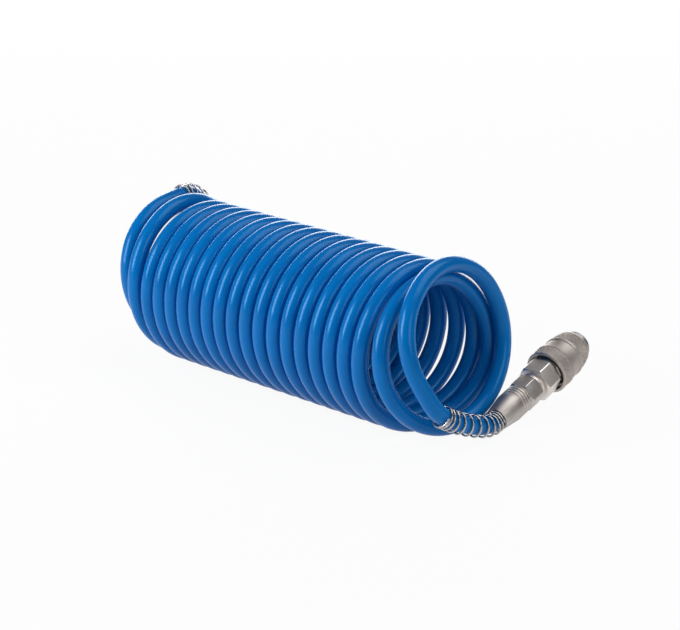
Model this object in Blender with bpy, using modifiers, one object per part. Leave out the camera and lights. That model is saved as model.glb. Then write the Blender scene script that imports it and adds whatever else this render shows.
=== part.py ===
"""Coiled air hose with a quick coupler at the front end and a plug at the rear end.

Metres, +Z up.  The coil lies on its side along X with the coupler at +X, and the
floor is z = 0.  The origin is on the flattened underside of a middle turn.
"""
import math

import bmesh
import bpy
import numpy as np
from mathutils import Matrix, Vector

MM = 0.001
GAP = 0.3 * MM

# Hose
HOSE_OD = 10.0 * MM
HOSE_BORE = 6.5 * MM
WOUND_THICKNESS = 8.6 * MM
WOUND_WIDTH = 9.4 * MM
FLAT_DEPTH = 1.0 * MM

# Coil
COIL_RADIUS = 44.0 * MM
FRONT_PITCH = 11.3 * MM
REAR_PITCH = 10.6 * MM
PITCH_CHANGE_START = 9.0
PITCH_CHANGE_END = 14.5
TURN_LEAN = 2.8 * MM
ORIGIN_TURN = 10
TURNS_TO_REAR_TOP = 20.5
LOOP_POINTS = 24
LEAD_POINTS = 10
LEAD_TURN = 72.0 / 360.0
AXIS_HEIGHT = COIL_RADIUS + WOUND_THICKNESS / 2 - FLAT_DEPTH

# Front loop, which stands off the others
FRONT_RAISE = 5.5 * MM
FRONT_ADVANCE = 12.2 * MM
FRONT_LEAN = 9.2 * MM
FRONT_YAW = 3.5 * MM
FRONT_FREE_TURN = 0.7
FRONT_SETTLED_TURN = 1.6
FRONT_DRAW_IN = 7.0 * MM
FRONT_DRAWN_TURN = 0.12
FRONT_FULL_TURN = 0.36

# Rear turns, parted from the others, and a last half turn that swings clear
REAR_GAP = 1.5 * MM
REAR_TILT = 3.5 * MM
REAR_YAW = 3.0 * MM
REAR_TOP_LIFT = 2.0 * MM
REAR_PART_START = 18.45
REAR_PART_END = 19.05
LAST_TURN_RAISE = 7.0 * MM
LAST_TURN_TOP_LIFT = 2.0 * MM
LAST_TURN_TILT = 4.5 * MM
LAST_TURN_DRAW_IN = 2.4 * MM
LAST_TURN_START = 19.35
LAST_TURN_END = 20.0
REAR_SWING = 4.5 * MM
REAR_SWING_START = 20.1
REAR_SWING_END = 20.45

# Front fitting placement
FRONT_NUT_X = 132.5 * MM
FRONT_NUT_Y = 19.5 * MM
FRONT_NUT_Z = 10.0 * MM
FRONT_RISE = math.radians(16.7)
FRONT_TURN_IN = math.radians(8.0)
STRAIGHT_RUN = HOSE_OD

# Wire guards
GUARD_WIRE = 1.2 * MM
GUARD_CLEARANCE = 0.6 * MM
GUARD_LENGTH = 44.0 * MM
GUARD_CURLS = 10
GUARD_CURL_POINTS = 8
GUARD_END_TIGHTNESS = 0.5
GUARD_FLARE = 0.9 * MM
GUARD_FLARE_SHARE = 0.08

# Clamp nut
NUT_ROUND_LENGTH = 23.0 * MM
NUT_HEX_LENGTH = 11.0 * MM
NUT_OD = 16.8 * MM
NUT_MOUTH_OD = 13.8 * MM
NUT_TAPER = 5.0 * MM
NUT_HEX_AF = 16.0 * MM
NUT_GROOVES = 6
NUT_GROOVE_DEPTH = 0.4 * MM
NUT_GROOVE_PITCH = 2.4 * MM
NUT_GROOVE_WIDTH = 1.0 * MM
NUT_LENGTH = NUT_ROUND_LENGTH + NUT_HEX_LENGTH

# Stem, shared by the coupler and the plug
STEM_TIP = 8.0 * MM
STEM_BORE = 4.0 * MM
STEM_CLEARANCE = 0.35 * MM
STEM_BARBS = 4
BARB_DEPTH = 0.45 * MM
THREAD_LENGTH = 8.5 * MM
THREAD_OD = 13.2 * MM
COLLAR_OD = 14.6 * MM
COLLAR_LENGTH = 2.5 * MM
CORNER_TURNED = 0.985
HEX_CHAMFER = 1.0 * MM

# Coupler
BODY_HEX_AF = 19.0 * MM
BODY_HEX_LENGTH = 12.0 * MM
SPIGOT_OD = 12.0 * MM
SPIGOT_LENGTH = 3.2 * MM
GASKET_OD = 15.0 * MM
GASKET_THICKNESS = 0.6 * MM
BARREL_OD = 15.2 * MM
BARREL_LENGTH = 33.4 * MM
CHAMBER_BORE = 12.6 * MM
CHAMBER_LENGTH = 12.0 * MM
SEAT_BORE = 7.2 * MM
SEAT_LENGTH = 2.0 * MM
SOCKET_BORE = 10.0 * MM
MOUTH_CHAMFER = 0.6 * MM
ORING_WIRE = 1.4 * MM
ORING_INNER = 9.5 * MM
ORING_SETBACK = 1.4 * MM
ORING_GROOVE_WIDTH = 2.0 * MM
BALL_COUNT = 6
BALL_SETBACK = 20.5 * MM
BALL_PROTRUSION = 0.45 * MM
BALL_HOLE_CLEARANCE = 0.25 * MM
BALL_RAMP_LEAD = 0.375 * MM
BALL_LIFT = 1.0 * MM
RING_THICKNESS = 1.1 * MM
RING_OD = 17.6 * MM
RING_GROOVE_DEPTH = 1.0 * MM
RING_GAP_WIDTH = 2.4 * MM
NOSE_LENGTH = 1.7 * MM

# Sleeve
SLEEVE_OD = 24.6 * MM
SLEEVE_BAND_OD = 23.8 * MM
SLEEVE_FRONT_OD = 22.2 * MM
SLEEVE_NOSE_OD = 18.0 * MM
SLEEVE_GRIP_LENGTH = 8.5 * MM
SLEEVE_BAND_LENGTH = 4.5 * MM
SLEEVE_RIDGE_LENGTH = 1.6 * MM
SLEEVE_EDGE = 0.6 * MM
SLEEVE_TRAVEL = 4.5 * MM
SLEEVE_SLIDE_CLEARANCE = 0.25 * MM
SKIRT_CLEARANCE = 0.45 * MM
SKIRT_WALL = 1.9 * MM
SKIRT_MARGIN = 1.0 * MM
SLEEVE_SPRING_ROOM = 11.3 * MM
SLEEVE_SPRING_WIRE = 1.0 * MM
SLEEVE_SPRING_CURLS = 4
SPRING_CURL_POINTS = 10

# Valve
POPPET_SKIRT_CLEARANCE = 0.35 * MM
POPPET_HEAD_OD = 10.4 * MM
POPPET_HEAD_LENGTH = 2.4 * MM
POPPET_SKIRT_LENGTH = 2.7 * MM
POPPET_NOSE_OD = 6.4 * MM
POPPET_NOSE_REACH = 2.2 * MM
POPPET_POCKET_OD = 9.2 * MM
POPPET_SLOT_WIDTH = 2.0 * MM
POPPET_SLOT_DEPTH = 1.7 * MM
POPPET_SLOTS = 2
SEAL_THICKNESS = 0.8 * MM
SEAL_OD = 10.0 * MM
POPPET_SPRING_WIRE = 0.8 * MM
POPPET_SPRING_CURLS = 3

# Plug
PLUG_HEX_AF = 17.0 * MM
PLUG_HEX_LENGTH = 8.0 * MM
PLUG_SHOULDER_OD = 12.0 * MM
PLUG_SHOULDER_LENGTH = 2.5 * MM
PLUG_OD = 9.4 * MM
PLUG_NECK_OD = 7.6 * MM
PLUG_NECK_LENGTH = 4.0 * MM
PLUG_LAND_LENGTH = 4.0 * MM
PLUG_NOSE_LENGTH = 7.0 * MM
PLUG_TIP_OD = 7.4 * MM
PLUG_TIP_TAPER = 2.0 * MM
PLUG_FLOOR_CLEARANCE = 0.2 * MM

# Facets
TURN_STEPS = 20
FINE_STEPS = 24
BALL_SEGMENTS = 10
BALL_RINGS = 6
BALL_HOLE_SEGMENTS = 12
SHOULDER_ARC_STEPS = 6
ORING_SIDES = 8
HEX_SIDES = 6
MERGE = 0.00001
SHARP_EDGE = math.radians(50.0)
HEADING_STEP = 1.0 / 720.0
QUARTER_TURN = 0.25
HALVINGS = 40

# Stations along a fitting, from the mouth of its nut
HOSE_END = NUT_LENGTH - THREAD_LENGTH
COLLAR_START = NUT_LENGTH + GAP
HEX_START = COLLAR_START + COLLAR_LENGTH
BODY_HEX_END = HEX_START + BODY_HEX_LENGTH
BODY_START = BODY_HEX_END + 2 * GAP + GASKET_THICKNESS
BODY_END = BODY_START + BARREL_LENGTH
SPIGOT_END = BODY_HEX_END + SPIGOT_LENGTH
SEAT_START = BODY_START + CHAMBER_LENGTH
SOCKET_START = SEAT_START + SEAT_LENGTH
BALL_STATION = BODY_START + BALL_SETBACK
RING_END = BODY_END - NOSE_LENGTH - GAP
RING_START = RING_END - RING_THICKNESS
SLEEVE_END = RING_START - GAP
SLEEVE_START = BODY_START
SLEEVE_SHOULDER = SLEEVE_START + SLEEVE_SPRING_ROOM
SLEEVE_BORE = BARREL_OD + 2 * SLEEVE_SLIDE_CLEARANCE
BALL_OD = SLEEVE_BORE / 2 - GAP - SOCKET_BORE / 2 + BALL_PROTRUSION
RAMP_START = BALL_STATION + BALL_RAMP_LEAD
RAMP_END = BALL_STATION + SLEEVE_TRAVEL + BALL_OD / 2 + GAP
RAMP_SLOPE = BALL_LIFT / SLEEVE_TRAVEL
BALL_RADIUS_AT_REST = SOCKET_BORE / 2 - BALL_PROTRUSION + BALL_OD / 2
PLUG_HEX_END = HEX_START + PLUG_HEX_LENGTH
PLUG_NECK_START = PLUG_HEX_END + PLUG_SHOULDER_LENGTH + PLUG_LAND_LENGTH
PLUG_END = PLUG_NECK_START + PLUG_NECK_LENGTH + PLUG_NOSE_LENGTH

# Colour, roughness and metallic value of each finish
HOSE_BLUE = ((0.0, 0.13, 0.46, 1.0), 0.28, 0.0)
NICKEL = ((0.52, 0.49, 0.46, 1.0), 0.24, 1.0)
STEEL = ((0.60, 0.60, 0.60, 1.0), 0.28, 1.0)
SPRING_STEEL = ((0.45, 0.45, 0.46, 1.0), 0.30, 1.0)
RUBBER = ((0.02, 0.02, 0.02, 1.0), 0.60, 0.0)
BRASS = ((0.70, 0.52, 0.25, 1.0), 0.32, 1.0)


def clear_scene():
    """Empty the file of the objects it opened with."""
    for item in list(bpy.data.objects):
        bpy.data.objects.remove(item, do_unlink=True)


def new_collection(name):
    group = bpy.data.collections.new(name)
    bpy.context.scene.collection.children.link(group)
    return group


clear_scene()
PARTS = new_collection("coiled_air_hose")
CUTTERS = new_collection("cutters")


def finish(item, look):
    """Give a part a material of its own."""
    colour, roughness, metallic = look
    material = bpy.data.materials.new(item.name + "_finish")
    material.use_nodes = True
    shader = material.node_tree.nodes["Principled BSDF"]
    shader.inputs["Base Color"].default_value = colour
    shader.inputs["Roughness"].default_value = roughness
    shader.inputs["Metallic"].default_value = metallic
    item.data.materials.append(material)


def add_part(name, data, look, parent=None):
    item = bpy.data.objects.new(name, data)
    PARTS.objects.link(item)
    item.parent = parent
    finish(item, look)
    return item


def add_cutter(name, data, parent=None):
    item = bpy.data.objects.new(name, data)
    CUTTERS.objects.link(item)
    item.parent = parent
    item.hide_render = True
    item.display_type = 'WIRE'
    return item


def cut(item, cutter):
    modifier = item.modifiers.new(cutter.name, 'BOOLEAN')
    modifier.operation = 'DIFFERENCE'
    modifier.object = cutter


def smoothstep(value, start, end):
    share = min(max((value - start) / (end - start), 0.0), 1.0)
    return share * share * (3.0 - 2.0 * share)


# Turned pieces

def profile_mesh(name, profile):
    """Closed half section in the XZ plane, as (radius, height) pairs."""
    mesh = bpy.data.meshes.new(name)
    points = [(radius, 0.0, height) for radius, height in profile]
    count = len(points)
    edges = [(index, (index + 1) % count) for index in range(count)]
    mesh.from_pydata(points, edges, [])
    return mesh


def spin(item, steps):
    screw = item.modifiers.new("turn", 'SCREW')
    screw.axis = 'Z'
    screw.angle = 2 * math.pi
    screw.steps = steps
    screw.render_steps = steps
    screw.use_merge_vertices = True
    screw.merge_threshold = MERGE
    screw.use_smooth_shade = True


def ring_section(outer, inner):
    """Join an outer line, top to bottom, and an inner line, bottom to top."""
    return list(outer) + list(inner)


def turned(name, outer, inner, look, parent, steps=TURN_STEPS):
    item = add_part(name, profile_mesh(name, ring_section(outer, inner)), look, parent)
    spin(item, steps)
    return item


def plain_ring(name, outer_radius, inner_radius, low, high, look, parent):
    outer = [(outer_radius, high), (outer_radius, low)]
    inner = [(inner_radius, low), (inner_radius, high)]
    return turned(name, outer, inner, look, parent)


def mill_hex(item, across_flats, low, high, parent):
    """Cut six flats with a ring whose hole is a hexagon."""
    corner = across_flats / math.sqrt(3)
    outside = corner + across_flats
    section = [(outside, high), (outside, low), (corner, low), (corner, high)]
    cutter = add_cutter(item.name + "_hex_mill", profile_mesh("hex_mill", section), parent)
    spin(cutter, HEX_SIDES)
    cut(item, cutter)


def hex_blank(across_flats, low, high):
    """Outer line of a turned hex blank with chamfered ends, top to bottom."""
    corner = across_flats / math.sqrt(3) * CORNER_TURNED
    edge = across_flats / 2
    rise = HEX_CHAMFER
    return [(edge, high), (corner, high - rise), (corner, low + rise), (edge, low)]


# Wires and tubes

def tube_mesh(name, points, radius, sides_level):
    """Round tube along the points, as a welded mesh in the points' frame."""
    curve = bpy.data.curves.new(name, 'CURVE')
    curve.dimensions = '3D'
    curve.bevel_depth = radius
    curve.bevel_resolution = sides_level
    curve.use_fill_caps = True
    spline = curve.splines.new('POLY')
    spline.points.add(len(points) - 1)
    for target, point in zip(spline.points, points):
        target.co = (*point, 1.0)
    guide = bpy.data.objects.new(name + "_route", curve)
    CUTTERS.objects.link(guide)
    graph = bpy.context.evaluated_depsgraph_get()
    mesh = bpy.data.meshes.new_from_object(guide.evaluated_get(graph))
    bpy.data.objects.remove(guide, do_unlink=True)
    bpy.data.curves.remove(curve)
    weld(mesh)
    mesh.name = name
    return mesh


def weld(mesh):
    work = bmesh.new()
    work.from_mesh(mesh)
    bmesh.ops.remove_doubles(work, verts=work.verts, dist=MERGE)
    bmesh.ops.recalc_face_normals(work, faces=work.faces)
    work.to_mesh(mesh)
    work.free()
    mesh.shade_smooth()
    mesh.set_sharp_from_angle(angle=SHARP_EDGE)


def least_gap(name, points, width, skip):
    """Print the smallest clear distance between stretches of a wound tube."""
    places = np.array([tuple(point) for point in points])
    least = math.inf
    for index in range(len(places) - skip):
        apart = np.linalg.norm(places[index + skip:] - places[index], axis=1)
        least = min(least, float(apart.min()))
    print(f"{name}: least gap to itself {(least - width) / MM:.2f} mm")


def helix(radius, low, high, curls, points_per_curl):
    """Even compression spring about Z."""
    count = curls * points_per_curl
    for index in range(count + 1):
        share = index / count
        turn = 2 * math.pi * curls * share
        yield Vector((radius * math.cos(turn), radius * math.sin(turn), low + (high - low) * share))


def coil_spring(name, radius, wire, low, high, curls, look, parent):
    points = list(helix(radius, low + wire / 2, high - wire / 2, curls, SPRING_CURL_POINTS))
    least_gap(name, points, wire, SPRING_CURL_POINTS // 2)
    return add_part(name, tube_mesh(name, points, wire / 2, 0), look, parent)


# Route of the hose

def wound_run(turns):
    """Length of the coil along its axis after this many turns, closer wound at the rear."""
    width = PITCH_CHANGE_END - PITCH_CHANGE_START
    share = min(max((turns - PITCH_CHANGE_START) / width, 0.0), 1.0)
    closer = width * (share ** 3 - share ** 4 / 2) + max(turns - PITCH_CHANGE_END, 0.0)
    return FRONT_PITCH * turns - (FRONT_PITCH - REAR_PITCH) * closer


def coil_point(turns):
    """Centreline of the wound hose, counted in turns from the bottom of the front loop."""
    angle = 2 * math.pi * turns
    height = (1.0 - math.cos(angle)) / 2
    free = 1.0 - smoothstep(turns, FRONT_FREE_TURN, FRONT_SETTLED_TURN)
    stand_off = FRONT_ADVANCE + FRONT_LEAN * math.cos(angle) + FRONT_YAW * math.sin(angle)
    x = wound_run(ORIGIN_TURN) - wound_run(turns)
    x += free * stand_off + (1.0 - free) * 2 * TURN_LEAN * height
    parted = smoothstep(turns, REAR_PART_START, REAR_PART_END)
    last = smoothstep(turns, LAST_TURN_START, LAST_TURN_END)
    x -= parted * (REAR_GAP + REAR_TILT * height - REAR_YAW * math.sin(angle))
    x -= last * LAST_TURN_TILT * height
    x -= REAR_SWING * smoothstep(turns, REAR_SWING_START, REAR_SWING_END)
    draw = 1.0 - smoothstep(turns, FRONT_DRAWN_TURN, FRONT_FULL_TURN)
    radius = COIL_RADIUS - FRONT_DRAW_IN * draw - LAST_TURN_DRAW_IN * last
    y = -radius * math.sin(angle)
    lift = free * FRONT_RAISE + parted * REAR_TOP_LIFT * height
    lift += last * (LAST_TURN_RAISE * (1.0 - height) + LAST_TURN_TOP_LIFT * height)
    z = AXIS_HEIGHT + lift - radius * math.cos(angle)
    return Vector((x, y, z))


def coil_heading(turns):
    """Unit direction of the centreline, towards the rear end."""
    ahead = coil_point(turns + HEADING_STEP)
    behind = coil_point(turns - HEADING_STEP)
    return (ahead - behind).normalized()


def rear_reach(turns):
    """Height of the lowest point of the plug if the hose leaves the coil at this turn."""
    heading = coil_heading(turns)
    tip = coil_point(turns) + heading * PLUG_END
    level = math.sqrt(1.0 - heading.z * heading.z)
    return tip.z - level * PLUG_TIP_OD / 2


def rear_leave_turn():
    """Turn at which the plug, in line with the hose, comes down on the floor."""
    early = TURNS_TO_REAR_TOP
    late = TURNS_TO_REAR_TOP + QUARTER_TURN
    for _ in range(HALVINGS):
        middle = (early + late) / 2
        if rear_reach(middle) > PLUG_FLOOR_CLEARANCE:
            early = middle
        else:
            late = middle
    return early


REAR_LEAVE = rear_leave_turn()
REAR_GUARD_START = REAR_LEAVE - GUARD_LENGTH / (2 * math.pi * COIL_RADIUS)
COIL_END = REAR_GUARD_START - 2 * STRAIGHT_RUN / (2 * math.pi * COIL_RADIUS)
FRONT_NUT = Vector((FRONT_NUT_X, FRONT_NUT_Y, FRONT_NUT_Z))
FRONT_AXIS = Vector((
    -math.sin(FRONT_TURN_IN) * math.cos(FRONT_RISE),
    math.cos(FRONT_TURN_IN) * math.cos(FRONT_RISE),
    math.sin(FRONT_RISE),
))


def wound_points():
    """Points of the coil, with a straight run at each end."""
    count = round((COIL_END - LEAD_TURN) * LOOP_POINTS)
    turns = [LEAD_TURN + (COIL_END - LEAD_TURN) * index / count for index in range(count + 1)]
    points = [coil_point(turn) for turn in turns]
    front = points[0] - coil_heading(turns[0]) * STRAIGHT_RUN
    rear = points[-1] + coil_heading(turns[-1]) * STRAIGHT_RUN
    return [front] + points + [rear]


def smooth_run(start, start_heading, end, end_heading, count):
    """Points on a smooth curve that leaves and arrives along the given headings."""
    reach = (end - start).length
    for index in range(count + 1):
        t = index / count
        keep = 2 * t ** 3 - 3 * t ** 2 + 1
        leave = t ** 3 - 2 * t ** 2 + t
        arrive = t ** 3 - t ** 2
        bend = leave * start_heading + arrive * end_heading
        yield keep * start + (1 - keep) * end + reach * bend


def lead_points(turns, direction, mouth, axis):
    """End of the hose, from the coil at this turn to its seat inside a nut."""
    heading = coil_heading(turns) * direction
    start = coil_point(turns) + heading * (STRAIGHT_RUN + GAP)
    run = start + heading * STRAIGHT_RUN / 2
    before_nut = mouth - axis * STRAIGHT_RUN / 2
    curve = list(smooth_run(run, heading, before_nut, axis, LEAD_POINTS))
    return [start] + curve + [mouth, mouth + axis * (HOSE_END - GAP)]


# Hose pieces

def floor_cutter():
    half = FRONT_PITCH * TURNS_TO_REAR_TOP
    depth = HOSE_OD
    mesh = bpy.data.meshes.new("floor_cut")
    work = bmesh.new()
    bmesh.ops.create_cube(work, size=1.0)
    bmesh.ops.scale(work, vec=(2 * half, 4 * COIL_RADIUS, depth), verts=work.verts)
    bmesh.ops.translate(work, vec=(0.0, 0.0, -depth / 2), verts=work.verts)
    work.to_mesh(mesh)
    work.free()
    return add_cutter("floor_cut", mesh)


def make_coil():
    """Wind a round tube on a shortened helix, then stretch it so its section turns oval."""
    stretch = WOUND_WIDTH / WOUND_THICKNESS
    points = wound_points()
    least_gap("hose_coil", points, WOUND_WIDTH, round(LOOP_POINTS / 2))
    squeezed = [Vector((point.x / stretch, point.y, point.z)) for point in points]
    mesh = tube_mesh("hose_coil", squeezed, WOUND_THICKNESS / 2, 1)
    mesh.transform(Matrix.Diagonal((stretch, 1.0, 1.0, 1.0)))
    coil = add_part("hose_coil", mesh, HOSE_BLUE)
    cut(coil, floor_cutter())


def make_lead(name, points, bore_start, axis):
    """Straight end of the hose, bored where the stem goes in."""
    lead = add_part(name, tube_mesh(name, points, HOSE_OD / 2, 3), HOSE_BLUE)
    bore_end = points[-1] + axis * STRAIGHT_RUN
    bore = tube_mesh(name + "_bore", [bore_start, bore_end], HOSE_BORE / 2, 3)
    cut(lead, add_cutter(name + "_bore", bore))


def guard_points(route, outward):
    """Wire of a guard, wound along the hose and closer at both ends."""
    radius = HOSE_OD / 2 + GUARD_CLEARANCE + GUARD_WIRE / 2
    count = GUARD_CURLS * GUARD_CURL_POINTS
    for index in range(count + 1):
        share = index / count
        wave = GUARD_END_TIGHTNESS * math.sin(2 * math.pi * share) / (2 * math.pi)
        place, heading = route(share - wave)
        flare = max(0.0, 1.0 - share / GUARD_FLARE_SHARE) * GUARD_FLARE
        side = (outward - heading * outward.dot(heading)).normalized()
        rise = heading.cross(side)
        turn = 2 * math.pi * GUARD_CURLS * share
        yield place + (radius + flare) * (math.cos(turn) * side + math.sin(turn) * rise)


def route_along(points, length):
    """Function that walks the last stretch of a lead, up to the mouth of its nut."""
    places = np.array([tuple(point) for point in points])
    steps = np.linalg.norm(np.diff(places, axis=0), axis=1)
    marks = np.concatenate([[0.0], np.cumsum(steps)])
    stop = marks[-1] - GUARD_WIRE / 2 - GAP

    def at(share):
        spot = stop - length * (1.0 - share)
        place = Vector([np.interp(spot, marks, places[:, axis]) for axis in range(3)])
        ahead = Vector([np.interp(spot + HOSE_OD / 4, marks, places[:, axis]) for axis in range(3)])
        behind = Vector([np.interp(spot - HOSE_OD / 4, marks, places[:, axis]) for axis in range(3)])
        return place, (ahead - behind).normalized()

    return at


def make_guard(name, lead_points, outward):
    route = route_along(lead_points, GUARD_LENGTH)
    points = list(guard_points(route, outward))
    least_gap(name, points, GUARD_WIRE, GUARD_CURL_POINTS // 2)
    add_part(name, tube_mesh(name, points, GUARD_WIRE / 2, 1), SPRING_STEEL)


# Fittings

def fitting_axis(name, place, axis):
    """Empty at the mouth of a nut with its Z along the fitting."""
    empty = bpy.data.objects.new(name, None)
    PARTS.objects.link(empty)
    side = Vector((0.0, 0.0, 1.0)).cross(axis).normalized()
    up = axis.cross(side)
    turn = Matrix((side, up, axis)).transposed().to_4x4()
    empty.matrix_world = Matrix.Translation(place) @ turn
    return empty


def nut_grooves():
    """Outer line of the grooved length of a nut, from the hex down to the taper."""
    radius = NUT_OD / 2
    floor = radius - NUT_GROOVE_DEPTH
    top = NUT_ROUND_LENGTH - NUT_GROOVE_WIDTH
    for index in range(NUT_GROOVES):
        high = top - index * NUT_GROOVE_PITCH
        low = high - NUT_GROOVE_WIDTH
        yield from ((radius, high), (floor, high - GAP), (floor, low + GAP), (radius, low))


def make_nut(name, axis):
    thread_bore = THREAD_OD / 2 + GAP
    hose_bore = HOSE_OD / 2 + GAP
    outer = hex_blank(NUT_HEX_AF, NUT_ROUND_LENGTH, NUT_LENGTH)
    outer += list(nut_grooves())
    outer += [(NUT_OD / 2, NUT_TAPER), (NUT_MOUTH_OD / 2, 0.0)]
    inner = [(hose_bore, 0.0), (hose_bore, HOSE_END - GAP)]
    inner += [(thread_bore, HOSE_END - GAP), (thread_bore, NUT_LENGTH)]
    nut = turned(name, outer, inner, NICKEL, axis, FINE_STEPS)
    mill_hex(nut, NUT_HEX_AF, NUT_ROUND_LENGTH, NUT_LENGTH + GAP, axis)


def stem_outline():
    """Outer line from the collar down to the tip of the barbed stem."""
    root = HOSE_BORE / 2 - STEM_CLEARANCE - BARB_DEPTH
    crest = root + BARB_DEPTH
    line = [(COLLAR_OD / 2, HEX_START), (COLLAR_OD / 2, COLLAR_START)]
    line += [(THREAD_OD / 2, COLLAR_START), (THREAD_OD / 2, HOSE_END + GAP), (crest, HOSE_END + GAP)]
    barb = (HOSE_END - STEM_TIP) / (STEM_BARBS + 1)
    for index in range(STEM_BARBS):
        high = HOSE_END - barb * (index + 1)
        line += [(crest, high), (root, high - barb)]
    return line


def make_coupler_stem(axis):
    spigot = SPIGOT_OD / 2
    outer = [(spigot, SPIGOT_END), (spigot, BODY_HEX_END)]
    outer += hex_blank(BODY_HEX_AF, HEX_START, BODY_HEX_END)
    outer += stem_outline()
    inner = [(STEM_BORE / 2, STEM_TIP), (STEM_BORE / 2, SPIGOT_END)]
    stem = turned("coupler_stem", outer, inner, NICKEL, axis)
    mill_hex(stem, BODY_HEX_AF, HEX_START - GAP, BODY_HEX_END + GAP, axis)


def make_plug(axis):
    land = PLUG_OD / 2
    neck = PLUG_NECK_OD / 2
    shoulder = PLUG_SHOULDER_OD / 2
    shoulder_end = PLUG_HEX_END + PLUG_SHOULDER_LENGTH
    neck_end = PLUG_NECK_START + PLUG_NECK_LENGTH
    outer = [(PLUG_TIP_OD / 2, PLUG_END), (land, PLUG_END - PLUG_TIP_TAPER), (land, neck_end)]
    outer += [(neck, neck_end - (land - neck)), (neck, PLUG_NECK_START + (land - neck))]
    outer += [(land, PLUG_NECK_START), (land, shoulder_end), (shoulder, shoulder_end)]
    outer += [(shoulder, PLUG_HEX_END)] + hex_blank(PLUG_HEX_AF, HEX_START, PLUG_HEX_END)
    outer += stem_outline()
    inner = [(STEM_BORE / 2, STEM_TIP), (STEM_BORE / 2, PLUG_END)]
    plug = turned("male_plug", outer, inner, NICKEL, axis)
    mill_hex(plug, PLUG_HEX_AF, HEX_START - GAP, PLUG_HEX_END + GAP, axis)


def body_outline():
    barrel = BARREL_OD / 2
    groove = barrel - RING_GROOVE_DEPTH
    nose = BODY_END - NOSE_LENGTH
    edge = MOUTH_CHAMFER / 2
    line = [(barrel - edge, BODY_END), (barrel, BODY_END - edge), (barrel, nose), (groove, nose)]
    return line + [(groove, RING_START - GAP), (barrel, RING_START - GAP), (barrel, BODY_START)]


def body_bore():
    chamber = CHAMBER_BORE / 2
    socket = SOCKET_BORE / 2
    seat = SEAT_BORE / 2
    groove_low = SOCKET_START + ORING_SETBACK
    groove_high = groove_low + ORING_GROOVE_WIDTH
    groove = ORING_INNER / 2 + ORING_WIRE + GAP
    line = [(chamber, BODY_START), (chamber, SEAT_START), (seat, SEAT_START), (seat, SOCKET_START)]
    line += [(socket, SOCKET_START), (socket, groove_low), (groove, groove_low)]
    line += [(groove, groove_high), (socket, groove_high), (socket, BODY_END - MOUTH_CHAMFER)]
    return line + [(socket + MOUTH_CHAMFER, BODY_END)]


def cylinder_mesh(name, radius, depth, segments):
    mesh = bpy.data.meshes.new(name)
    work = bmesh.new()
    bmesh.ops.create_cone(
        work, cap_ends=True, segments=segments, radius1=radius, radius2=radius, depth=depth)
    work.to_mesh(mesh)
    work.free()
    return mesh


def make_body(axis):
    body = turned("coupler_body", body_outline(), body_bore(), NICKEL, axis, FINE_STEPS)
    hole = cylinder_mesh("ball_hole", BALL_OD / 2 + BALL_HOLE_CLEARANCE, 2 * BARREL_OD,
                         BALL_HOLE_SEGMENTS)
    for index in range(BALL_COUNT // 2):
        cutter = add_cutter(f"ball_hole_{index + 1}", hole, axis)
        cutter.location = (0.0, 0.0, BALL_STATION)
        cutter.rotation_euler = (math.pi / 2, 0.0, 2 * math.pi * index / BALL_COUNT)
        cut(body, cutter)


def make_balls(axis):
    mesh = bpy.data.meshes.new("lock_ball")
    work = bmesh.new()
    bmesh.ops.create_uvsphere(
        work, u_segments=BALL_SEGMENTS, v_segments=BALL_RINGS, radius=BALL_OD / 2)
    work.to_mesh(mesh)
    work.free()
    mesh.shade_smooth()
    for index in range(BALL_COUNT):
        angle = 2 * math.pi * index / BALL_COUNT - math.pi / 2
        ball = add_part(f"lock_ball_{index + 1}", mesh.copy(), STEEL, axis)
        reach = BALL_RADIUS_AT_REST
        ball.location = (reach * math.cos(angle), reach * math.sin(angle), BALL_STATION)


def make_snap_ring(axis):
    inner = BARREL_OD / 2 - RING_GROOVE_DEPTH + GAP
    ring = plain_ring("snap_ring", RING_OD / 2, inner, RING_START, RING_END, SPRING_STEEL, axis)
    mesh = bpy.data.meshes.new("ring_gap")
    work = bmesh.new()
    bmesh.ops.create_cube(work, size=1.0)
    size = (RING_OD, RING_GAP_WIDTH, 4 * RING_THICKNESS)
    bmesh.ops.scale(work, vec=size, verts=work.verts)
    work.to_mesh(mesh)
    work.free()
    cutter = add_cutter("ring_gap", mesh, axis)
    cutter.location = (RING_OD / 2, 0.0, (RING_START + RING_END) / 2)
    cut(ring, cutter)


def sleeve_outline():
    grip_end = SLEEVE_START + SLEEVE_GRIP_LENGTH
    band_end = grip_end + SLEEVE_BAND_LENGTH
    ridge_end = band_end + SLEEVE_RIDGE_LENGTH
    full = SLEEVE_OD / 2
    band = SLEEVE_BAND_OD / 2
    front = SLEEVE_FRONT_OD / 2
    nose = SLEEVE_NOSE_OD / 2
    run = SLEEVE_END - ridge_end
    line = []
    for index in range(SHOULDER_ARC_STEPS):
        share = 1.0 - index / SHOULDER_ARC_STEPS
        line.append((front - (front - nose) * share ** 3, ridge_end + run * share))
    line += [(front, ridge_end), (full, ridge_end), (full, band_end), (band, band_end)]
    line += [(band, grip_end), (full, grip_end)]
    return line + [(full, SLEEVE_START + SLEEVE_EDGE), (full - SLEEVE_EDGE, SLEEVE_START)]


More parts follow.
